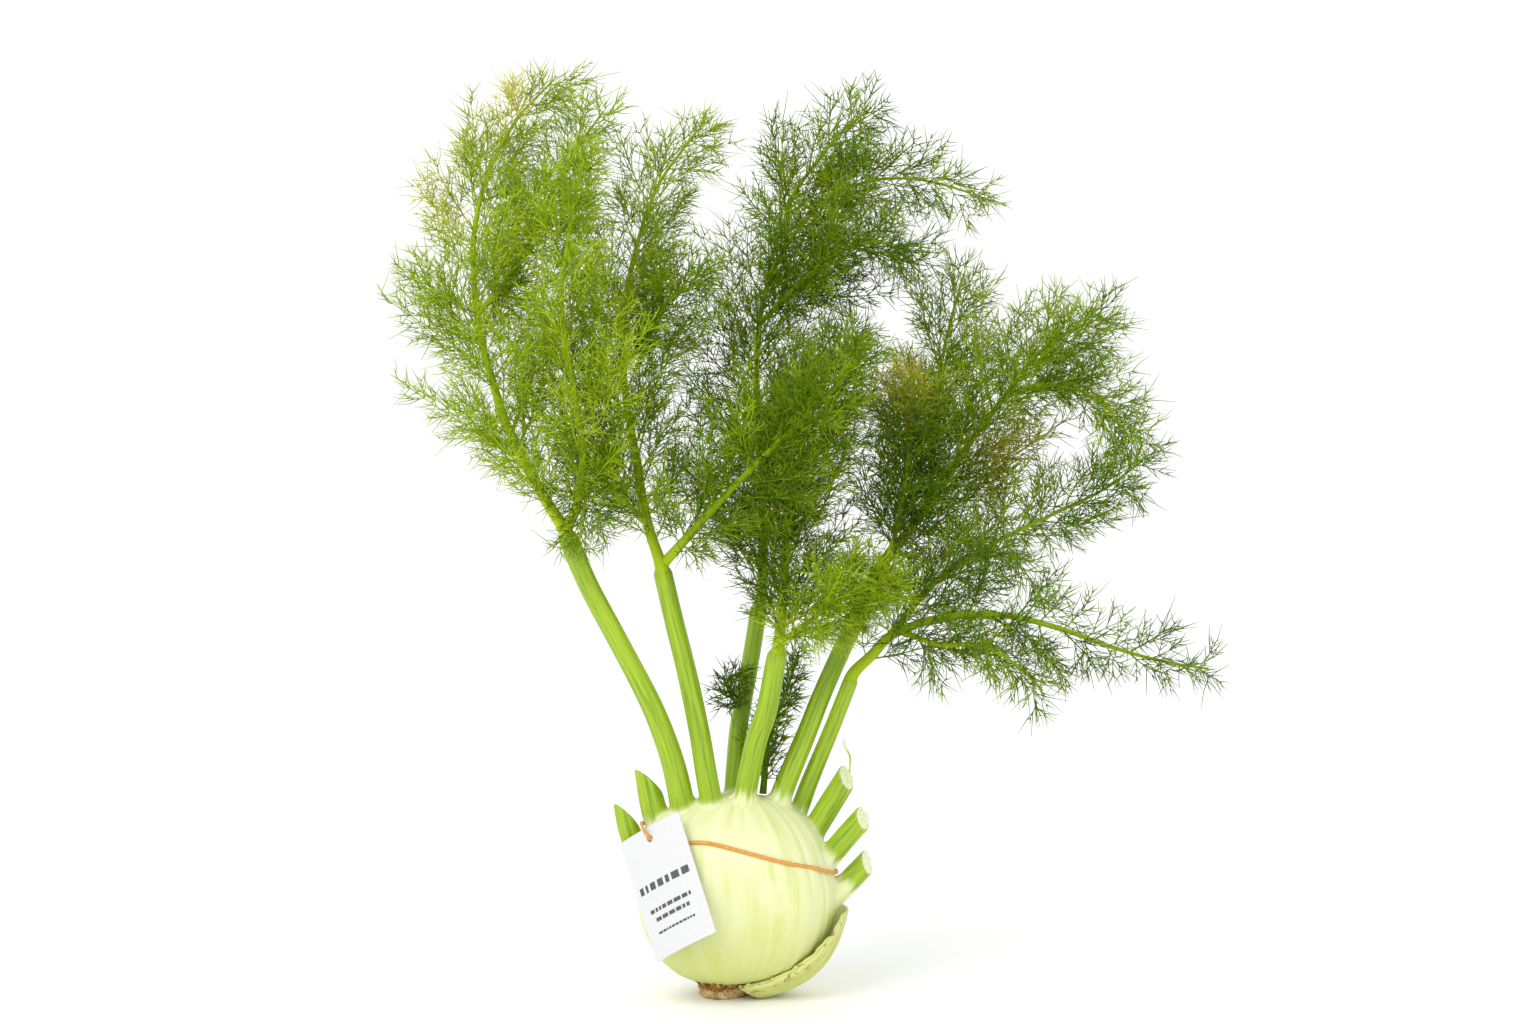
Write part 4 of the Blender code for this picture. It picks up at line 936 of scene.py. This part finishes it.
def make_sheath():
    """Loose leaf base round the lower right of the bulb, with a thin ragged rim."""
    up, round_ = [g.ravel() for g in np.meshgrid(np.linspace(0, 1, SHEATH_ALONG + 1),
                                                 np.linspace(0, 1, SHEATH_AROUND + 1), indexing="ij")]
    number = 0.5 + 4.9 * up
    front = np.radians(-76 + 60 * up)
    back = np.radians(78 - 60 * up)
    ragged = np.radians(1.4 * np.sin(up * 31) + 0.9 * np.sin(up * 67 + 1))
    angle = front + ragged * (1 - round_) + (back - front) * round_
    lift = 0.0055 * up ** 3
    body = 0.0105 + (0.0042 - 0.0105) * up ** 0.6
    tip = np.where(up > 0.375, np.sin(np.pi / 2 * np.minimum(1, 0.18 + 1.312 * (1 - up))), 1.0)
    thick = 0.0007 + (body * tip - 0.0007) * np.sin(np.pi * round_) ** 0.7
    near = bulb_points(angle, number)
    small = 0.01
    rise = bulb_points(angle, number + small) - bulb_points(angle, number - small)
    turn = bulb_points(angle + small, number) - bulb_points(angle - small, number)
    out = unit(np.cross(turn, rise))
    ribs = 0.00025 * np.sin(round_ * 90 + 4 * np.sin(up * 3)) * np.sin(np.pi * round_)
    inner = near + out * (3 * GAP + lift)[:, None]
    outer = inner + out * (thick + ribs)[:, None]
    outer[:, 2] = np.maximum(outer[:, 2], 0.0)
    columns = SHEATH_AROUND + 1
    grid = np.arange((SHEATH_ALONG + 1) * columns).reshape(SHEATH_ALONG + 1, columns)
    shift = grid.size
    faces = []
    for j in range(SHEATH_ALONG):
        for i in range(SHEATH_AROUND):
            a, b, c, d = grid[j, i], grid[j, i + 1], grid[j + 1, i + 1], grid[j + 1, i]
            faces += [(a, d, c, b), (a + shift, b + shift, c + shift, d + shift)]
        for i, flip in ((0, 1), (SHEATH_AROUND, -1)):
            a, d = grid[j, i], grid[j + 1, i]
            faces.append((a, a + shift, d + shift, d)[::flip])
    for i in range(SHEATH_AROUND):
        for j, flip in ((0, -1), (SHEATH_ALONG, 1)):
            a, b = grid[j, i], grid[j, i + 1]
            faces.append((a, a + shift, b + shift, b)[::flip])
    mesh = mesh_from("outer_sheath_skin", np.vstack((inner, outer)), faces, sheath_material())
    edge = 1 - np.minimum(round_, 1 - round_) * 2
    green = smooth_step(up, 0.45, 0.95) * smooth_step(np.abs(round_ - 0.5), 0.30, 0.08)
    colour = np.ones((shift * 2, 4))
    colour[:, 0] = np.tile(green, 2)
    colour[:, 1] = np.tile(smooth_step(edge, 0.55, 1.0), 2)
    colour[:, 2] = np.tile(up, 2)
    layer = mesh.attributes.new("share", "FLOAT_COLOR", "POINT")
    layer.data.foreach_set("color", colour.ravel())
    grain = np.stack((round_ * 42, round_ * 3, up * 1.1), axis=1)
    lines = mesh.attributes.new("grain", "FLOAT_VECTOR", "POINT")
    lines.data.foreach_set("vector", np.tile(grain, (2, 1)).ravel())
    finish_piece(add_piece("outer_sheath_skin", mesh), "sheath_skin", "outer_sheath")


# ---------------------------------------------------------------- root
def make_root(rng):
    """Slightly uneven plate with a flat cut below, and thin flakes round its upper edge."""
    rows, around = 22, 90
    heights = np.linspace(0, 0.0100, rows)
    places = []
    for height in heights:
        for k in range(around):
            turn = 2 * math.pi * k / around
            wide = np.interp(height, [0, 0.0015, 0.005, 0.0075, 0.010],
                             [0.0118, 0.0132, 0.0128, 0.0110, 0.0125])
            knob = 1 + 0.08 * math.sin(3 * turn + 6.6 * height / 0.009) + 0.03 * math.sin(7 * turn)
            knob += 0.035 * math.sin(13 * turn + 900 * height) + 0.02 * math.sin(29 * turn - 1500 * height)
            places.append((wide * knob * math.cos(turn), wide * 0.93 * knob * math.sin(turn), height))
    mesh = mesh_from("root_plate_skin", places, ring_faces(rows, around), root_material())
    finish_piece(add_piece("root_plate_skin", mesh), "root_skin", "root_plate")
    batch_places, faces = [], []
    for _ in range(150):
        turn = rng.uniform(0, 2 * math.pi)
        low = rng.uniform(0.0045, 0.0085)
        high = rng.uniform(0.0105, 0.0165)
        width = rng.uniform(0.0012, 0.0034)
        lean = rng.uniform(0.3, 1.0)
        base = len(batch_places)
        for j in range(4):
            t = j / 3
            radius = 0.0118 + 0.0010 * rng.uniform(0, 1) + (0.0090 * t ** 1.3) * lean
            height = low + (high - low) * t
            for side in (-1, 1):
                spot = turn + side * width * (1 - 0.8 * t) / 0.013
                batch_places.append((radius * math.cos(spot), 0.95 * radius * math.sin(spot), height))
        for j in range(3):
            a = base + 2 * j
            faces.append((a, a + 1, a + 3, a + 2))
    flakes = mesh_from("root_flakes", batch_places, faces, bark_material())
    piece = add_piece("root_flakes", flakes)
    shell = piece.modifiers.new("thickness", "SOLIDIFY")
    shell.thickness = 0.0003
    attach(piece, "root")


# ---------------------------------------------------------------- strand, band and tag
TAG_WIDTH, TAG_HEIGHT, TAG_THICK, TAG_BOW = 0.0450, 0.0705, 0.0005, 0.0022
TAG_HOLE = (0.0, 0.0290, 0.0022)
TAG_MIDDLE = Vector((-0.0309, -0.0303, 0.0667))
TAG_ACROSS = Vector((0.0327, -0.0220, 0.0218)).normalized()
TAG_UP = Vector((-0.0210, 0.0290, 0.0610)).normalized()
BAND_RIGHT = [(0.0618, 0.0075, 0.0702), (0.0637, 0.0000, 0.0695), (0.0618, -0.0075, 0.0705),
              (0.0582, -0.0150, 0.0725)]
BAND_FRONT = [(0.050, 0.0755), (0.036, 0.0795), (0.021, 0.0836), (0.006, 0.0875), (-0.008, 0.0905),
              (-0.020, 0.0900), (-0.032, 0.0865)]
BAND_LEFT = [(-0.0446, -0.0075, 0.0985), (-0.0446, 0.0000, 0.0965), (-0.0440, 0.0080, 0.0955)]
BAND_BACK = [(-0.030, 0.0905), (-0.012, 0.0880), (0.008, 0.0840), (0.028, 0.0790), (0.044, 0.0745),
             (0.056, 0.0715)]
# The first point lies 3.5 mm lower than the frame's
STRAND_POINTS = [(0.0705, -0.0020, 0.1255), (0.0705, -0.0010, 0.1340), (0.0680, 0.0005, 0.1390),
                 (0.0667, 0.0015, 0.1440)]


def tag_place(across, up, out=0.0):
    """A place on the bowed card, from its middle; out is towards the viewer."""
    normal = TAG_ACROSS.cross(TAG_UP).normalized()
    bend = TAG_BOW * (2 * across / TAG_WIDTH) ** 2
    return TAG_MIDDLE + TAG_ACROSS * across + TAG_UP * up + normal * (out - bend)


def skin_front(tree, across, height, side):
    """Place on the bulb's skin straight in front of or behind a point."""
    origin = Vector((across, side * 0.2, height))
    hit, normal, _face, _gap = tree.ray_cast(origin, Vector((0, -side, 0)))
    return hit, normal


def make_band(tree):
    """Rubber band: a flattened closed loop round the bulb and through the tag's hole."""
    hole_across, hole_up, _radius = TAG_HOLE
    route = [Vector(point) for point in BAND_RIGHT]
    for across, height in BAND_FRONT:
        hit, normal = skin_front(tree, across, height, -1)
        route.append(hit + normal * 0.0008)
    route += [tag_place(hole_across + 0.0035, hole_up - 0.0030, -0.0030),
              tag_place(hole_across, hole_up, 0.0),
              tag_place(hole_across - 0.0003, hole_up + 0.0036, 0.0022),
              tag_place(hole_across - 0.0012, TAG_HEIGHT / 2 + 0.0006, 0.0018)]
    route += [Vector(point) for point in BAND_LEFT]
    for across, height in BAND_BACK:
        hit, normal = skin_front(tree, across, height, 1)
        route.append(hit + normal * 0.0008)
    looped = [tuple(point) for point in route[-2:] + route + route[:3]]
    fine = spline(looped, np.linspace(2, 2 + len(route), 420, endpoint=False))
    count = len(fine)
    along = unit(np.roll(fine, -1, axis=0) - np.roll(fine, 1, axis=0))
    middle = np.array([0.007, 0.0, 0.082])
    out = unit(fine - middle)
    out = unit(out - along * np.sum(out * along, axis=1, keepdims=True))
    side = np.cross(along, out)
    sides = 14
    places = []
    for k in range(count):
        for j in range(sides):
            turn = 2 * math.pi * j / sides
            groove = 1 - 0.22 * math.exp(-(math.cos(turn) / 0.35) ** 2)
            places.append(fine[k] + side[k] * (0.00105 * math.cos(turn))
                          + out[k] * (0.0008 * groove * math.sin(turn)))
    faces = []
    for k in range(count):
        for j in range(sides):
            a, b = k * sides, ((k + 1) % count) * sides
            faces.append((a + j, a + (j + 1) % sides, b + (j + 1) % sides, b + j))
    mesh = mesh_from("rubber_band_loop", places, faces, band_material())
    finish_piece(add_piece("rubber_band_loop", mesh), "band_rubber", "rubber_band")


def card_block(columns, rows, left, right, low, high, back, front):
    """Thin block that follows the bowed card between two distances from it."""
    places = []
    for out in (back, front):
        for j in range(rows + 1):
            for i in range(columns + 1):
                places.append(tag_place(left + (right - left) * i / columns,
                                        low + (high - low) * j / rows, out))
    shift = (rows + 1) * (columns + 1)
    faces = []
    for j in range(rows):
        for i in range(columns):
            a = j * (columns + 1) + i
            quad = (a, a + 1, a + columns + 2, a + columns + 1)
            faces += [quad[::-1], tuple(k + shift for k in quad)]
        for i, flip in ((0, 1), (columns, -1)):
            a = j * (columns + 1) + i
            faces.append((a, a + shift, a + columns + 1 + shift, a + columns + 1)[::flip])
    for i in range(columns):
        for j, flip in ((0, -1), (rows, 1)):
            a = j * (columns + 1) + i
            faces.append((a, a + shift, a + 1 + shift, a + 1)[::flip])
    return places, faces


def make_tag(rng):
    """White card with a punched hole, and rows of plain printed bars in place of words."""
    places, faces = card_block(36, 56, -TAG_WIDTH / 2, TAG_WIDTH / 2, -TAG_HEIGHT / 2, TAG_HEIGHT / 2,
                               -TAG_THICK / 2, TAG_THICK / 2)
    mesh = mesh_from("hang_tag_card", places, faces, card_material(), False)
    card = add_piece("hang_tag_card", mesh)
    across, up, radius = TAG_HOLE
    normal = TAG_ACROSS.cross(TAG_UP).normalized()
    turn = Matrix((TAG_ACROSS, TAG_UP, normal)).transposed().to_4x4()
    punch = bmesh.new()
    bmesh.ops.create_cone(punch, cap_ends=True, segments=40, radius1=radius, radius2=radius, depth=0.01,
                          matrix=Matrix.Translation(tag_place(across, up)) @ turn)
    tool_mesh = bpy.data.meshes.new("punch")
    punch.to_mesh(tool_mesh)
    punch.free()
    tool = add_piece("punch", tool_mesh)
    cut = card.modifiers.new("hole", "BOOLEAN")
    cut.solver = "EXACT"
    cut.object = tool
    graph = bpy.context.evaluated_depsgraph_get()
    card.data = bpy.data.meshes.new_from_object(card.evaluated_get(graph))
    card.modifiers.clear()
    bpy.data.objects.remove(tool, do_unlink=True)
    finish_piece(card, "tag_card", "hang_tag")

    all_places, all_faces = [], []
    rows = [(0.0040, 0.0042, 0.86, 7), (-0.0090, 0.0022, 0.70, 8), (-0.0142, 0.0022, 0.58, 6),
            (-0.0215, 0.0013, 0.62, 11)]
    for middle, tall, width, count in rows:
        edges = np.cumsum(rng.uniform(0.6, 1.5, count))
        edges = np.concatenate(([0], edges)) / edges[-1] * width * TAG_WIDTH - width * TAG_WIDTH / 2
        for left, right in zip(edges, edges[1:]):
            trim = tall * 0.22
            places, faces = card_block(3, 1, left + trim, right - trim, middle - tall / 2, middle + tall / 2,
                                       TAG_THICK / 2 - 0.00002, TAG_THICK / 2 + 0.00005)
            shift = len(all_places)
            all_places += places
            all_faces += [tuple(k + shift for k in face) for face in faces]
    mesh = mesh_from("tag_print", all_places, all_faces, ink_material(), False)
    print_ = add_piece("tag_print", mesh)
    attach(print_, "root")


def make_strand(material):
    """Peeled strand of skin on the top right cut stalk."""
    path = walk(STRAND_POINTS, 0.0006)
    batch = Batch()
    share = np.linspace(0, 1, len(path))
    shade = np.stack((0.92 + 0 * share, 0.25 + 0 * share), axis=-1)[None]
    batch.add(path[None], (0.0006 - 0.00035 * share)[None], 6, shade)
    second = path + np.stack((0.0012 * share, -0.0006 + 0 * share, 0.0004 * share), axis=1)
    batch.add(second[None], (0.00035 - 0.0002 * share)[None], 6, shade)
    finish_piece(batch.build("peeled_strand_fibre", material), "strand_fibre", "peeled_strand")


# ---------------------------------------------------------------- studio
def make_studio():
    """White floor, white surroundings, two big soft lamps and the camera."""
    scene = bpy.context.scene
    scene.view_settings.view_transform = "Standard"
    world = bpy.data.worlds.new("white")
    world.use_nodes = True
    world.node_tree.nodes["Background"].inputs["Color"].default_value = (1, 1, 1, 1)
    world.node_tree.nodes["Background"].inputs["Strength"].default_value = 1.10
    scene.world = world
    bm = bmesh.new()
    bmesh.ops.create_grid(bm, x_segments=1, y_segments=1, size=60)
    mesh = bpy.data.meshes.new("floor")
    bm.to_mesh(mesh)
    bm.free()
    mesh.materials.append(floor_material())
    add_piece("floor", mesh)
    for name, place, power, size in (("key", (-0.9, -1.3, 1.5), 15, 1.2),
                                     ("fill", (1.4, -0.9, 0.9), 2.5, 1.4)):
        lamp = bpy.data.lights.new(name, "AREA")
        lamp.energy = power
        lamp.size = size
        holder = bpy.data.objects.new(name, lamp)
        holder.location = place
        holder.rotation_euler = (Vector((0.02, 0, 0.2)) - Vector(place)).to_track_quat("-Z", "Y").to_euler()
        scene.collection.objects.link(holder)
    target = Vector((0.0256, 0.0, 0.2700))
    away = 2.0
    rise = math.radians(5)
    camera = bpy.data.cameras.new("camera")
    camera.lens = 36 * away / 0.8454
    holder = bpy.data.objects.new("camera", camera)
    holder.location = target + Vector((0, -away * math.cos(rise), away * math.sin(rise)))
    holder.rotation_euler = (target - holder.location).to_track_quat("-Z", "Y").to_euler()
    scene.collection.objects.link(holder)
    scene.camera = holder


def main():
    make_studio()
    rng = np.random.default_rng(SEED + 1)
    tree = make_skin()
    make_fronds()
    make_sheath()
    make_root(rng)
    make_strand(frond_material())
    make_band(tree)
    make_tag(rng)


main()
